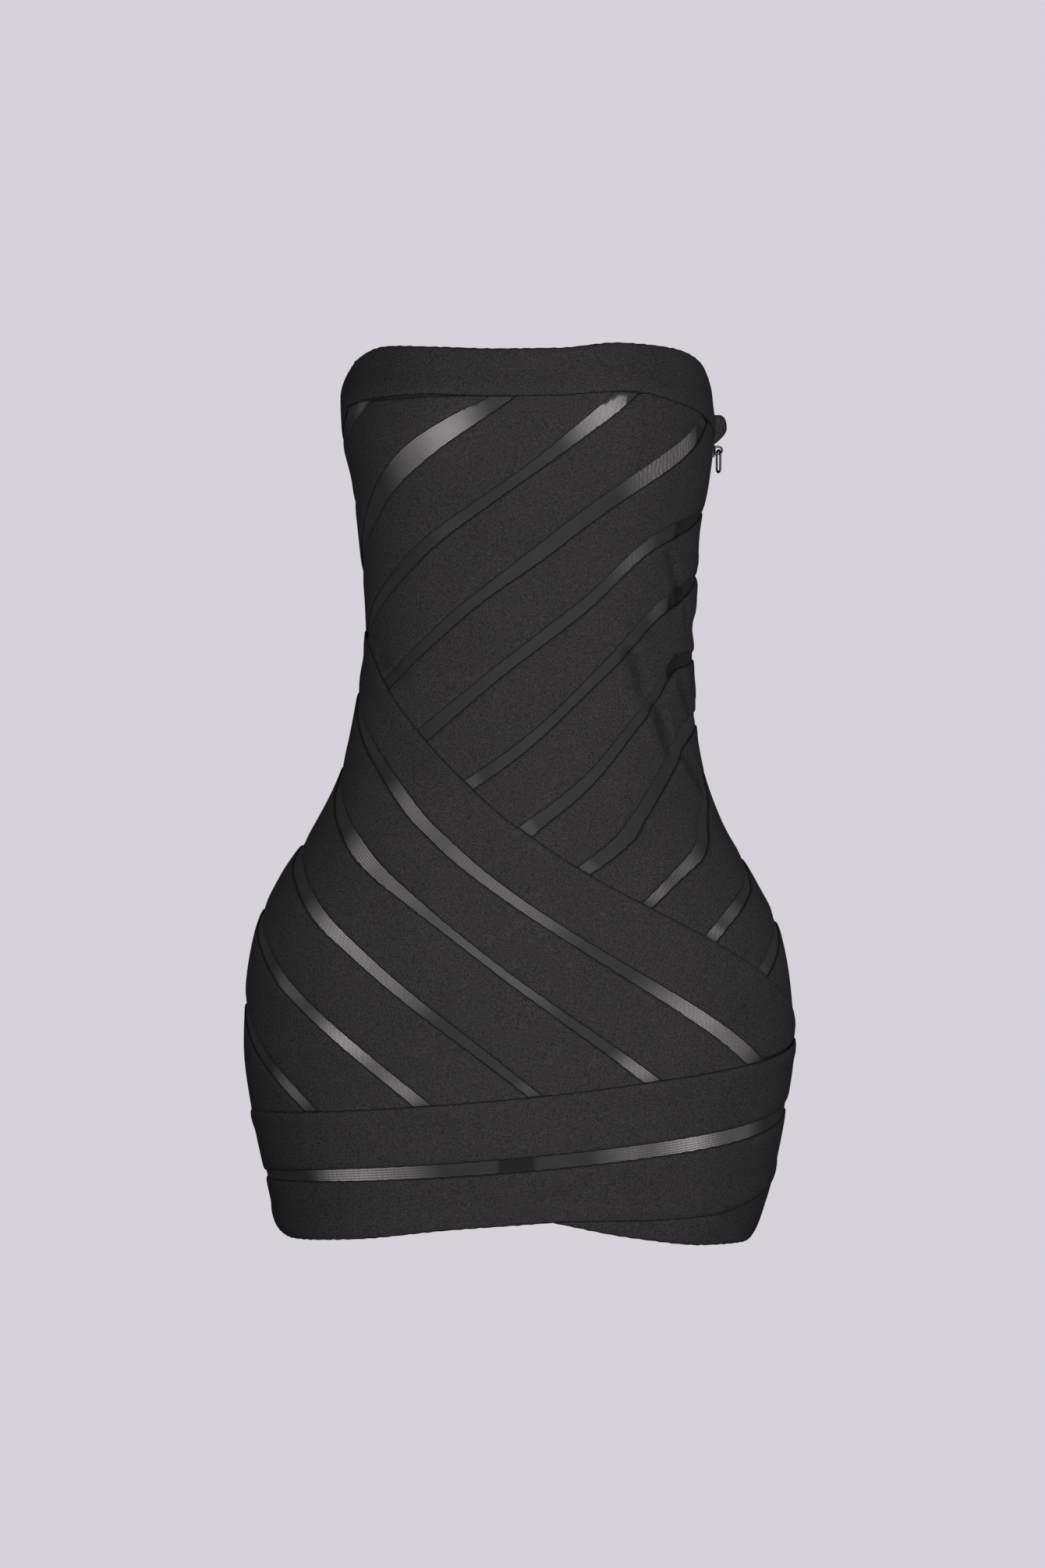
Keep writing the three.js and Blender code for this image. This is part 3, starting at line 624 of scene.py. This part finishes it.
def mesh_ground(panel, top, hem, gaps, shown, glows, pieces_behind, lap=0.0):
    """The sheer ground. Each point carries how much painted light its colour shows there and its depth
    below the nearest gap's upper edge, which the ribs follow."""
    shares = np.linspace(0, 1, GROUND_COLUMNS)[:, None]
    places = np.linspace(0, 1, GROUND_ROWS)[None, :]
    high, low = top(shares) - TRIM, hem(shares) + TRIM
    height = low + (high - low) * places
    angle = panel_angle(panel, shares + 0 * height, height, 0, lap)
    along = lengths_along(raised(angle, height, 0), 0)
    width = along[-1].mean()
    from_seam = np.minimum(along, along[-1:] - along)
    sink = SEAM_LAP_SINK * (1 - smooth_step(from_seam, SEAM_LAP, SEAM_LAP_RISE)) if lap else 0
    points = raised(angle, height, GROUND_FACE - sink)
    nearest = np.full(height.shape, np.inf)
    depth, light, wrinkle_relief_and_shade = 0 * height, 0 * height, 0 * height
    for key, (upper, lower) in gaps.items():
        away = np.abs(height - (upper(shares) + lower(shares)) / 2)
        away = np.where(shown(key, shares, height), away, np.inf)
        near = away < nearest
        nearest = np.where(near, away, nearest)
        depth = np.where(near, upper(shares) - height, depth)
        across = square_share(shares, height, upper, lower, width)
        beyond = np.maximum(height - upper(shares), lower(shares) - height)
        shown_light = glow_along(across, glows(key)) * (1 - smooth_step(beyond, *GLOW_FADE))
        light = np.where(near, shown_light, light)
        wrinkle_relief_and_shade = np.where(near, CROSS_WRINKLES.get(key, SLIGHT_WRINKLES), wrinkle_relief_and_shade)
    obj = cloth_grid(f"{panel}_mesh", points, np.stack([along, -depth], axis=-1), GROUND_WALL,
                     {"light": light, "wrinkle_relief_and_shade": wrinkle_relief_and_shade, "painted_crease_shade": fold_shade(angle, height),
                      "backing": backing(shares + 0 * height, height, *pieces_behind)})
    dress_piece(obj, sheer, "mesh", f"{panel}_mesh_ground")
    declare_sheet(points)


def make_front_ground(lines, gaps):
    slack = 4

    def shows(key, share, height):
        """Whether a gap's line is in the open there, and not carried on under the wrap or a band."""
        wrap, hem_band = lines["wrap"](share), lines["hem_band_top"](share)
        if key.startswith("upper"):
            return (height > wrap - slack) & (height < lines["top_band_foot"](share) + slack)
        if key.startswith("lower"):
            return (height < wrap + slack) & (height > hem_band - slack)
        return height < hem_band + slack

    mesh_ground("front", lines["top"], lines["hem"], gaps, shows, MESH_GLOWS.get, (FACING, STAY))


def make_back_ground(edges):
    gaps = {key: pair for key, pair in edges.items() if "gap" in key}

    def glows(key):
        aside = BACK_GLOW_SHIFT * math.sin(2.1 * list(gaps).index(key))
        return [(middle + aside, half, strength) for middle, half, strength in BACK_GLOWS]

    mesh_ground("back", edges["top"][0], edges["hem"][0], gaps, lambda *_: True, glows, (), SEAM_LAP)


# The zip

def zip_tape(side, near, far):
    """A tape behind one edge of the zip's slot, between two distances from the seam."""
    name = f"zip_tape_{side}"
    top, bottom = TAPE["top"], TAPE["bottom"]
    heights = np.linspace(bottom, top, int((top - bottom) / TRIM_STEP))[None, :]
    distance = np.linspace(near, far, 7)[:, None]
    angle = ZIP_SEAM + degrees_for(distance, ZIP_SEAM + 0 * heights, heights)
    height = heights + 0 * distance
    points = raised(angle, height, TAPE["outside"] + 0 * height)
    uv = np.stack([distance + 0 * height, height], axis=-1)
    obj = dress_piece(cloth_grid(name, points, uv, TAPE["wall"]), tape_cloth, "zip_tape", name)
    declare_sheet(points)


def piece_behind_front(name, spec, material, slot):
    shares = np.linspace(spec["start"], spec["end"], 12)[:, None]
    top, bottom = spec["top"], spec["bottom"]
    heights = np.linspace(bottom, top, max(4, int((top - bottom) / TRIM_STEP)))
    height = heights[None, :] + 0 * shares
    angle = panel_angle("front", shares + 0 * height, height, 0)
    points = raised(angle, height, spec["outside"] + 0 * height)
    uv = np.stack([lengths_along(points, 0), height], axis=-1)
    obj = dress_piece(cloth_grid(name, points, uv, spec["wall"]), material, slot, name)
    declare_sheet(points)


# Pieces shaped from primitives, in mm about their own origin, and then set in place in their mesh

def primitive(kind, name, **settings):
    deselect()
    getattr(bpy.ops.mesh, f"primitive_{kind}_add")(**settings)
    obj = bpy.context.object
    bpy.ops.object.transform_apply(location=True, rotation=True, scale=True)
    obj.name = obj.data.name = name
    return obj


def pick(obj, kind, wanted):
    """Edit mode on a piece with the vertices, edges or faces picked by their place, or for faces by
    their place and normal."""
    select_only(obj)
    bpy.ops.object.mode_set(mode="EDIT")
    bpy.ops.mesh.select_mode(type=kind)
    bpy.ops.mesh.select_all(action="DESELECT")
    bpy.ops.object.mode_set(mode="OBJECT")
    points = [vertex.co.copy() for vertex in obj.data.vertices]
    if kind == "FACE":
        for polygon in obj.data.polygons:
            polygon.select = bool(wanted(polygon.center, polygon.normal))
    elif kind == "EDGE":
        for edge in obj.data.edges:
            edge.select = all(wanted(points[i]) for i in edge.vertices)
    else:
        for vertex in obj.data.vertices:
            vertex.select = bool(wanted(vertex.co))
    bpy.ops.object.mode_set(mode="EDIT")


def extrude(distance):
    bpy.ops.mesh.extrude_region_move(TRANSFORM_OT_translate={"value": (0, 0, distance)})


def resize(value, centre=(0, 0, 0)):
    bpy.ops.transform.resize(value=value, center_override=centre)


def shift(value):
    bpy.ops.transform.translate(value=value)


def cut(height, **settings):
    """Cuts the whole piece level at a height."""
    bpy.ops.mesh.select_all(action="SELECT")
    bpy.ops.mesh.bisect(plane_co=(0, 0, height), plane_no=(0, 0, 1), **settings)


def place(obj, origin, across, up, out):
    """Sets a piece in place: its x runs across, its y up and its z out, from an origin in mm."""
    turn = Matrix((across, up, out)).transposed().to_4x4()
    obj.data.transform(Matrix.Scale(MM, 4) @ Matrix.Translation(origin) @ turn)


def join(objects, name):
    deselect()
    for obj in objects:
        obj.select_set(True)
    bpy.context.view_layer.objects.active = objects[0]
    bpy.ops.object.join()
    joined = bpy.context.object
    joined.name = joined.data.name = name
    return joined


def copies(obj, places, name):
    """A piece copied to each place, every copy with its own mesh, and joined as one."""
    made = []
    for where in places:
        twin = bpy.data.objects.new(name, obj.data.copy())
        bpy.context.scene.collection.objects.link(twin)
        place(twin, *where)
        made.append(twin)
    bpy.data.objects.remove(obj)
    return join(made, name)


def seam_place(distance, height, out):
    """A point beside the zip seam, and the ways across, up and out there."""
    def point(along, up):
        angle = ZIP_SEAM + degrees_for(distance + along, ZIP_SEAM, height)
        return Vector(raised(angle, height + up, out))
    across = (point(0.5, 0) - point(-0.5, 0)).normalized()
    up = (point(0, 0.5) - point(0, -0.5)).normalized()
    return point(0, 0), across, up, across.cross(up)


def make_capsule(name, length, radius, rounding, thickness=1.0):
    """A short rod across, its ends rounded off."""
    rod = primitive("cylinder", name, vertices=8, radius=radius, depth=length, rotation=(0, math.pi / 2, 0))
    end = length / 2 - 0.01
    pick(rod, "EDGE", lambda point: abs(point.x) > end)
    bpy.ops.mesh.bevel(offset=rounding, segments=2, affect="EDGES")
    bpy.ops.mesh.select_all(action="SELECT")
    resize((1, 1, thickness))
    bpy.ops.object.mode_set(mode="OBJECT")
    smooth(rod, 50)
    return rod


def make_chain():
    tooth = make_capsule("tooth", **TOOTH)
    places = []
    for side in (-1, 1):
        start = CHAIN["top"] - (side + 1) / 4 * CHAIN["pitch"]
        for height in np.arange(start, CHAIN["bottom"], -CHAIN["pitch"]):
            places.append(seam_place(side * CHAIN["across"], height, CHAIN["out"]))
    dress_piece(copies(tooth, places, "zip_teeth"), coil, "coil", "zip_chain")


def zip_seat():
    """The point on the zip seam that the slider sits at."""
    return Vector(face(ZIP_SEAM, SLIDER["middle"]))


ZIP_WAYS = (Vector((0, 1, 0)), Vector((0, 0, 1)), Vector((1, 0, 0)))       # across, up and out


def make_slider():
    thickness = SLIDER["plate"] - SLIDER["inside"]
    body = primitive("cube", "zip_slider_body", size=1)
    pick(body, "VERT", lambda point: True)
    resize((SLIDER["width"], SLIDER["height"], thickness))
    shift((0, 0, SLIDER["inside"] + thickness / 2))
    pick(body, "VERT", lambda point: point.y < 0)
    resize((SLIDER["foot"] / SLIDER["width"], 1, 1))
    cut(SLIDER["mouth_low"])
    cut(SLIDER["mouth_high"])
    pick(body, "FACE", lambda centre, normal: abs(normal.z) < 0.5
         and SLIDER["mouth_low"] < centre.z < SLIDER["mouth_high"])
    bpy.ops.mesh.inset(thickness=SLIDER["mouth_rim"], depth=-SLIDER["mouth_depth"])
    pick(body, "FACE", lambda centre, normal: normal.z > 0.9 and centre.z > SLIDER["plate"] - 0.1)
    bpy.ops.mesh.inset(thickness=SLIDER["crown_inset"], depth=0)
    extrude(SLIDER["crown"] - SLIDER["plate"])
    resize(SLIDER["crown_taper"], (0, 0, SLIDER["crown"]))
    apply_modifier(body, "BEVEL", width=SLIDER["rounding"], segments=2, limit_method="ANGLE",
                   angle_limit=math.radians(35))

    centre = BAIL["reach"] - BAIL["wire"] - BAIL["radius"]
    bail = primitive("torus", "zip_bail", major_radius=BAIL["radius"], minor_radius=BAIL["wire"],
                     major_segments=28, minor_segments=10, location=(0, 0, centre),
                     rotation=(0, math.pi / 2, 0))
    pick(bail, "VERT", lambda point: True)
    cut(centre, use_fill=True, clear_inner=True)
    pick(bail, "FACE", lambda face_centre, normal: normal.z < -0.9 and face_centre.z < centre + 0.01)
    extrude(BAIL["root"] - centre)
    bpy.ops.mesh.select_all(action="SELECT")
    resize((BAIL["half_width"] / BAIL["wire"], 1, 1))
    bpy.ops.mesh.normals_make_consistent(inside=False)
    shift((0, PULL["height"] - SLIDER["middle"], 0))
    bpy.ops.object.mode_set(mode="OBJECT")
    slider = join([body, bail], "zip_slider_and_bail")
    smooth(slider, 40)
    place(slider, zip_seat(), *ZIP_WAYS)
    dress_piece(slider, metal, "metal", "zip_slider")


def make_pull():
    ring = primitive("torus", "zip_pull_ring", major_radius=PULL["radius"], minor_radius=PULL["wire"],
                     major_segments=40, minor_segments=12)
    pick(ring, "VERT", lambda point: point.y < -0.01)
    shift((0, -PULL["straight"], 0))
    bpy.ops.mesh.select_all(action="SELECT")
    shift((0, -PULL["radius"], 0))
    bpy.ops.object.mode_set(mode="OBJECT")
    smooth(ring, 60)
    ring.data.transform(Matrix.Rotation(math.radians(PULL["turn"]), 4, "Y"))
    seat = zip_seat()
    place(ring, Vector((seat.x + PULL["out"], seat.y, PULL["height"])), *ZIP_WAYS)
    dress_piece(ring, metal, "metal", "zip_pull", body="zip_pull")


def guard_reach():
    """Points along the guard tab's rounded edge, as how far out and how high each is."""
    def curve(start, middle, end):
        t = np.linspace(0, 1, 20)[:, None]
        start, middle, end = np.array(start), np.array(middle), np.array(end)
        return start * (1 - t) ** 2 + 2 * middle * t * (1 - t) + end * t * t

    bottom, swell, top, reach = (GUARD[key] for key in ("bottom", "swell", "top", "reach"))
    low = curve((GUARD["foot"], bottom), (reach, bottom + 0.6 * (swell - bottom)), (reach, swell))
    high = curve((reach, swell), (reach, top), (GUARD["shoulder"], top))
    return np.concatenate([low, high[1:]])


def make_guard():
    edge = guard_reach()
    evenly, along_edge = np.linspace(0, 1, GUARD["rows"]), np.linspace(0, 1, len(edge))
    reach = np.interp(evenly, along_edge, edge[:, 0])[None, :]
    height = np.interp(evenly, along_edge, edge[:, 1])[None, :]
    part = np.sin(np.linspace(0, 1, GUARD["columns"]) * np.pi / 2)[:, None]
    out = GUARD["root"] + (reach - GUARD["root"]) * part
    up = height + 0 * out
    gaps = np.stack([out[..., None] - edge[:, 0], up[..., None] - edge[:, 1]], axis=-1)
    from_edge = np.minimum(np.linalg.norm(gaps, axis=-1).min(axis=-1),
                           np.minimum(GUARD["top"] - up, up - GUARD["bottom"]))
    seat = zip_seat()
    points = np.stack([seat.x + out, seat.y - GUARD["thickness"] / 2 + 0 * out, up], axis=-1)
    # the tab's seam mark: a darker rim at its edge, and painted shade in the stitch groove
    rim = 0.8 * np.exp(-(from_edge / GUARD["rim"]) ** 2)
    groove = 0.5 * np.exp(-((from_edge - STITCH_LINE["inset"]) / STITCH_LINE["groove"]) ** 2)
    marks = {"seam": np.maximum(rim, groove), "painted_crease_shade": 0 * out}
    tab = cloth_grid("zip_guard_tab", points, np.stack([out, up], axis=-1), GUARD["thickness"], marks)
    apply_modifier(tab, "BEVEL", width=GUARD["rounding"] * MM, segments=3, limit_method="ANGLE",
                   angle_limit=math.radians(50))
    smooth(tab, 60)
    dress_piece(tab, knit, "band", "zip_guard")
    declare_sheet(points, (make_guard_stitches(edge, seat),))


def make_guard_stitches(edge, seat):
    """A row of stitches on each side of the tab, inside its edge."""
    lengths = lengths_along(edge[:, None, :], 0)[:, 0]
    ways = np.gradient(edge, axis=0)
    ways /= np.linalg.norm(ways, axis=-1, keepdims=True)
    inset = STITCH_LINE["inset"]
    line = edge + np.stack([-ways[:, 1], ways[:, 0]], axis=-1) * inset
    stitch = make_capsule("stitch", **STITCH)
    places = []
    for distance in np.arange(inset, lengths[-1] - inset, STITCH_LINE["step"]):
        x, z, way_x, way_z = (np.interp(distance, lengths, values) for values in (*line.T, *ways.T))
        along = Vector((way_x, 0, way_z)).normalized()
        for side in (-1, 1):
            out = Vector((0, side, 0))
            origin = Vector((seat.x + x, seat.y + side * GUARD["thickness"] / 2, z))
            places.append((origin, along, out.cross(along), out))
    return dress_piece(copies(stitch, places, "zip_guard_stitches"), tape_cloth, "band")


# Materials

class Finish:
    """A material with short calls for its nodes."""

    def __init__(self, name):
        self.material = bpy.data.materials.new(name)
        self.material.use_nodes = True
        self.nodes = self.material.node_tree.nodes
        self.links = self.material.node_tree.links
        self.shader = self.nodes["Principled BSDF"]

    def add(self, kind, inputs=None, **settings):
        node = self.nodes.new(kind)
        for key, value in settings.items():
            setattr(node, key, value)
        for key, value in (inputs or {}).items():
            self.feed(node, key, value)
        return node

    def feed(self, node, key, value):
        if isinstance(value, bpy.types.NodeSocket):
            self.links.new(value, node.inputs[key])
        else:
            node.inputs[key].default_value = value

    def set(self, **values):
        for key, value in values.items():
            self.feed(self.shader, key.replace("_", " "), value)

    def math(self, operation, a, b=0.0):
        return self.add("ShaderNodeMath", {0: a, 1: b}, operation=operation).outputs[0]

    def times(self, first, *others):
        for other in others:
            first = self.math("MULTIPLY", first, other)
        return first

    def mix(self, factor, a, b):
        return self.add("ShaderNodeMix", {0: factor, 6: a, 7: b}, data_type="RGBA").outputs[2]

    def cloth_map(self):
        """The piece's own length and depth in metres."""
        return self.add("ShaderNodeUVMap", uv_map="cloth").outputs["UV"]

    def position(self):
        return self.add("ShaderNodeTexCoord").outputs["Object"]

    def mark(self, name):
        return self.add("ShaderNodeAttribute", attribute_name=name).outputs["Fac"]

    def noise(self, vector, scale, detail=2.0, roughness=0.5):
        return self.add("ShaderNodeTexNoise", {"Vector": vector, "Scale": scale, "Detail": detail,
                                               "Roughness": roughness}).outputs["Fac"]

    def ribs(self, vector, pitch, direction, distortion=0.0):
        """Lines across one axis of a map in metres, a pitch in mm apart."""
        wave_turns = 20 / (2 * math.pi)
        node = self.add("ShaderNodeTexWave", {"Vector": vector, "Scale": 1 / (pitch * MM * wave_turns),
                                              "Distortion": distortion, "Detail": 1.0, "Detail Scale": 1.5},
                        wave_type="BANDS", bands_direction=direction)
        return node.outputs["Fac"]

    def range(self, value, low, high, start=0.0, end=1.0):
        return self.add("ShaderNodeMapRange", {"Value": value, "From Min": start, "From Max": end,
                                               "To Min": low, "To Max": high}).outputs[0]

    def swing(self, value, depth):
        """A value from 0 to 1 made to run a depth to each side of 1."""
        return self.range(value, self.math("SUBTRACT", 1.0, depth), self.math("ADD", 1.0, depth))

    def scaled(self, colour, tone):
        return self.add("ShaderNodeVectorMath", {0: colour, "Scale": tone}, operation="SCALE").outputs[0]

    def bump(self, height, distance, strength):
        """Relief of a depth in metres."""
        return self.add("ShaderNodeBump", {"Height": height, "Distance": distance,
                                           "Strength": strength}).outputs["Normal"]


def grey(value, warm=0.0, cool=0.02):
    return (value * (1 + warm), value, value * (1 + cool), 1)


def knit_finish():
    f = Finish("bandage_knit")
    position, along = f.position(), f.cloth_map()
    # painted shade darkens the knit's colour in the crease troughs
    seam, painted_crease_shade = f.mark("seam"), f.mark("painted_crease_shade")
    wales = f.ribs(along, pitch=1.3, direction="Y", distortion=0.6)
    courses = f.ribs(along, pitch=0.9, direction="X", distortion=0.8)
    grain = f.noise(position, scale=900, roughness=0.6)
    cloud = f.noise(position, scale=22)
    # the seam mark darkens the strip edges: the seam's own dark line and painted shadow
    tone = f.times(f.range(wales, 0.86, 1.1), f.range(courses, 0.93, 1.05), f.range(cloud, 0.86, 1.14),
                   f.range(seam, 1.0, 0.12), f.range(painted_crease_shade, 1.0, 0.62))
    colour = f.mix(f.range(grain, -1.1, 2.1), grey(0.019, warm=0.08), grey(0.051, warm=0.08))
    relief = f.math("ADD", f.times(wales, 0.6), f.times(grain, 0.9))
    f.set(Base_Color=f.scaled(colour, tone), Roughness=0.85, Specular_IOR_Level=0.2,
          Normal=f.bump(relief, distance=0.00022, strength=0.8))
    return f.material


def mesh_finish():
    f = Finish("sheer_mesh")
    position, along = f.position(), f.cloth_map()
    light, behind, cross, painted_crease_shade = (f.mark(name) for name in ("light", "backing", "wrinkle_relief_and_shade", "painted_crease_shade"))
    ribs = f.ribs(along, pitch=1.75, direction="Y", distortion=0.3)
    wrinkles = f.ribs(along, pitch=3.4, direction="X", distortion=5.0)
    dim, bright = 0.22, 0.5
    rib_depth = f.times(f.range(light, 0.05, 0.42, dim, bright), f.range(cross, 1.0, 0.35))
    # the wrinkles' swing of tone is painted light and shade, stronger where the glow is painted
    wrinkle_depth = f.times(cross, f.range(light, 0.0, 0.38, dim, bright))
    cloud = f.noise(position, scale=60)
    unlit = f.mix(behind, grey(0.031, warm=0.08), grey(0.006))
    # painted light: the glows lift the mesh's colour above the unlit mesh's own
    shown = f.times(f.math("POWER", light, 2.2), f.math("SUBTRACT", 1.0, behind))
    lit = f.scaled(grey(1.0, warm=0.05)[:3], shown)
    colour = f.add("ShaderNodeVectorMath", {0: unlit, 1: lit}, operation="MAXIMUM").outputs[0]
    # painted shade darkens the mesh's colour in the crease troughs
    tone = f.times(f.swing(ribs, rib_depth), f.swing(wrinkles, wrinkle_depth), f.range(cloud, 0.82, 1.16),
                   f.range(painted_crease_shade, 1.0, 0.65))
    relief = f.math("ADD", ribs, f.times(wrinkles, wrinkle_depth))
    f.set(Base_Color=f.scaled(colour, tone), Roughness=0.7, Specular_IOR_Level=0.3,
          Alpha=f.range(ribs, 0.88, 0.98), Normal=f.bump(relief, distance=0.0002, strength=0.4))
    return f.material


def tape_finish():
    f = Finish("woven_tape")
    along = f.cloth_map()
    weave = f.ribs(along, pitch=0.9, direction="Y", distortion=0.3)
    twill = f.ribs(along, pitch=1.6, direction="DIAGONAL", distortion=0.2)
    cloth = f.math("ADD", f.times(weave, 0.5), f.times(twill, 0.5))
    grain = f.noise(f.position(), scale=800)
    colour = f.mix(f.times(f.math("ADD", cloth, grain), 0.5), grey(0.012), grey(0.034))
    f.set(Base_Color=colour, Roughness=0.75, Normal=f.bump(cloth, distance=0.0002, strength=0.6))
    return f.material


def metal_finish():
    f = Finish("dark_nickel")
    position = f.position()
    wear = f.noise(position, scale=420, detail=4, roughness=0.6)
    scuffs = f.noise(position, scale=1600)
    f.set(Base_Color=f.mix(wear, (0.03, 0.03, 0.033, 1), (0.09, 0.09, 0.095, 1)), Metallic=1.0,
          Roughness=f.range(wear, 0.2, 0.38), Normal=f.bump(scuffs, distance=0.00003, strength=0.4))
    return f.material


def coil_finish():
    f = Finish("zip_coil")
    streak = f.noise(f.position(), scale=900)
    f.set(Base_Color=f.mix(streak, grey(0.012), grey(0.035)), Roughness=f.range(streak, 0.3, 0.5))
    return f.material


knit = knit_finish()
sheer = mesh_finish()
tape_cloth = tape_finish()
metal = metal_finish()
coil = coil_finish()


# Making

front_lines, front_gaps = make_front_strips()
back_edges = make_back_strips()
make_front_ground(front_lines, front_gaps)
make_back_ground(back_edges)
zip_tape("front", -TAPE["far"], -TAPE["near"])
zip_tape("back", TAPE["near"], TAPE["far"])
piece_behind_front("zip_facing", FACING, tape_cloth, "zip_tape")
piece_behind_front("hem_stay", STAY, knit, "band")
make_chain()
make_slider()
make_pull()
make_guard()


# Camera, floor and light

EYE = (0, -3.0, -0.281)
FRAME_HEIGHT = 1.1457           # what the picture takes in at the dress, in metres
SENSOR = 36                     # in millimetres, upright
BACKDROP = (0.680, 0.651, 0.708, 1)
BACKDROP_STRENGTH = 0.985

# Soft strips of light, all aimed level at the dress's middle: name, place, size, power, seen in gloss
LIGHTS = [
    ("front_strip", (0.12, -1.15, -0.24), (0.25, 1.4), 11.3, True),
    ("back_strip", (-0.1, 1.25, -0.28), (0.3, 1.5), 9, False),
    ("left_strip", (-1.2, 0.55, -0.1), (0.3, 1.2), 2.0, True),
    ("right_strip", (1.2, 0.55, -0.1), (0.3, 1.2), 2.0, True),
]


def make_camera():
    lens = bpy.data.cameras.new("camera")
    lens.sensor_fit = "VERTICAL"
    lens.sensor_height = SENSOR
    lens.sensor_width = SENSOR * 2 / 3
    lens.lens = SENSOR * -EYE[1] / FRAME_HEIGHT
    lens.clip_start = 0.05
    camera = bpy.data.objects.new("camera", lens)
    camera.location = EYE
    camera.rotation_euler = (math.radians(90), 0, 0)
    bpy.context.scene.collection.objects.link(camera)
    bpy.context.scene.camera = camera
    bpy.context.scene.view_settings.view_transform = "Standard"


def make_stage():
    """A round cove, floor and wall in one, which stands behind the dress in every view."""
    radius, tall, floor_height, bend = 7.5, 14.0, -1.25, 2.0
    cove = primitive("cylinder", "floor_and_backdrop", vertices=96, radius=radius, depth=tall,
                     location=(0, 0, floor_height + tall / 2))
    pick(cove, "EDGE", lambda point: point.z < floor_height + 0.1)
    bpy.ops.mesh.bevel(offset=bend, segments=8, affect="EDGES")
    bpy.ops.mesh.select_all(action="SELECT")
    bpy.ops.mesh.flip_normals()
    bpy.ops.object.mode_set(mode="OBJECT")
    smooth(cove, 60)
    paper = Finish("pale_paper")
    paper.set(Base_Color=(0.02, 0.02, 0.02, 1), Roughness=1.0, Emission_Color=BACKDROP,
              Emission_Strength=BACKDROP_STRENGTH)
    cove.data.materials.append(paper.material)
    cove.visible_diffuse = cove.visible_glossy = cove.visible_shadow = False


def soft_light(name, position, size, power, in_gloss):
    data = bpy.data.lights.new(name, "AREA")
    data.shape = "RECTANGLE"
    data.size, data.size_y = size
    data.energy = power
    light = bpy.data.objects.new(name, data)
    light.location = position
    way = Vector((-position[0], -position[1], 0))
    light.rotation_euler = way.to_track_quat("-Z", "Y").to_euler()
    light.visible_camera = False
    light.visible_glossy = in_gloss
    bpy.context.scene.collection.objects.link(light)


def make_world():
    world = bpy.data.worlds.new("studio")
    world.use_nodes = True
    background = world.node_tree.nodes["Background"]
    background.inputs["Color"].default_value = (1, 0.97, 1, 1)
    background.inputs["Strength"].default_value = 0.035
    bpy.context.scene.world = world


make_camera()
make_stage()
for row in LIGHTS:
    soft_light(*row)
make_world()
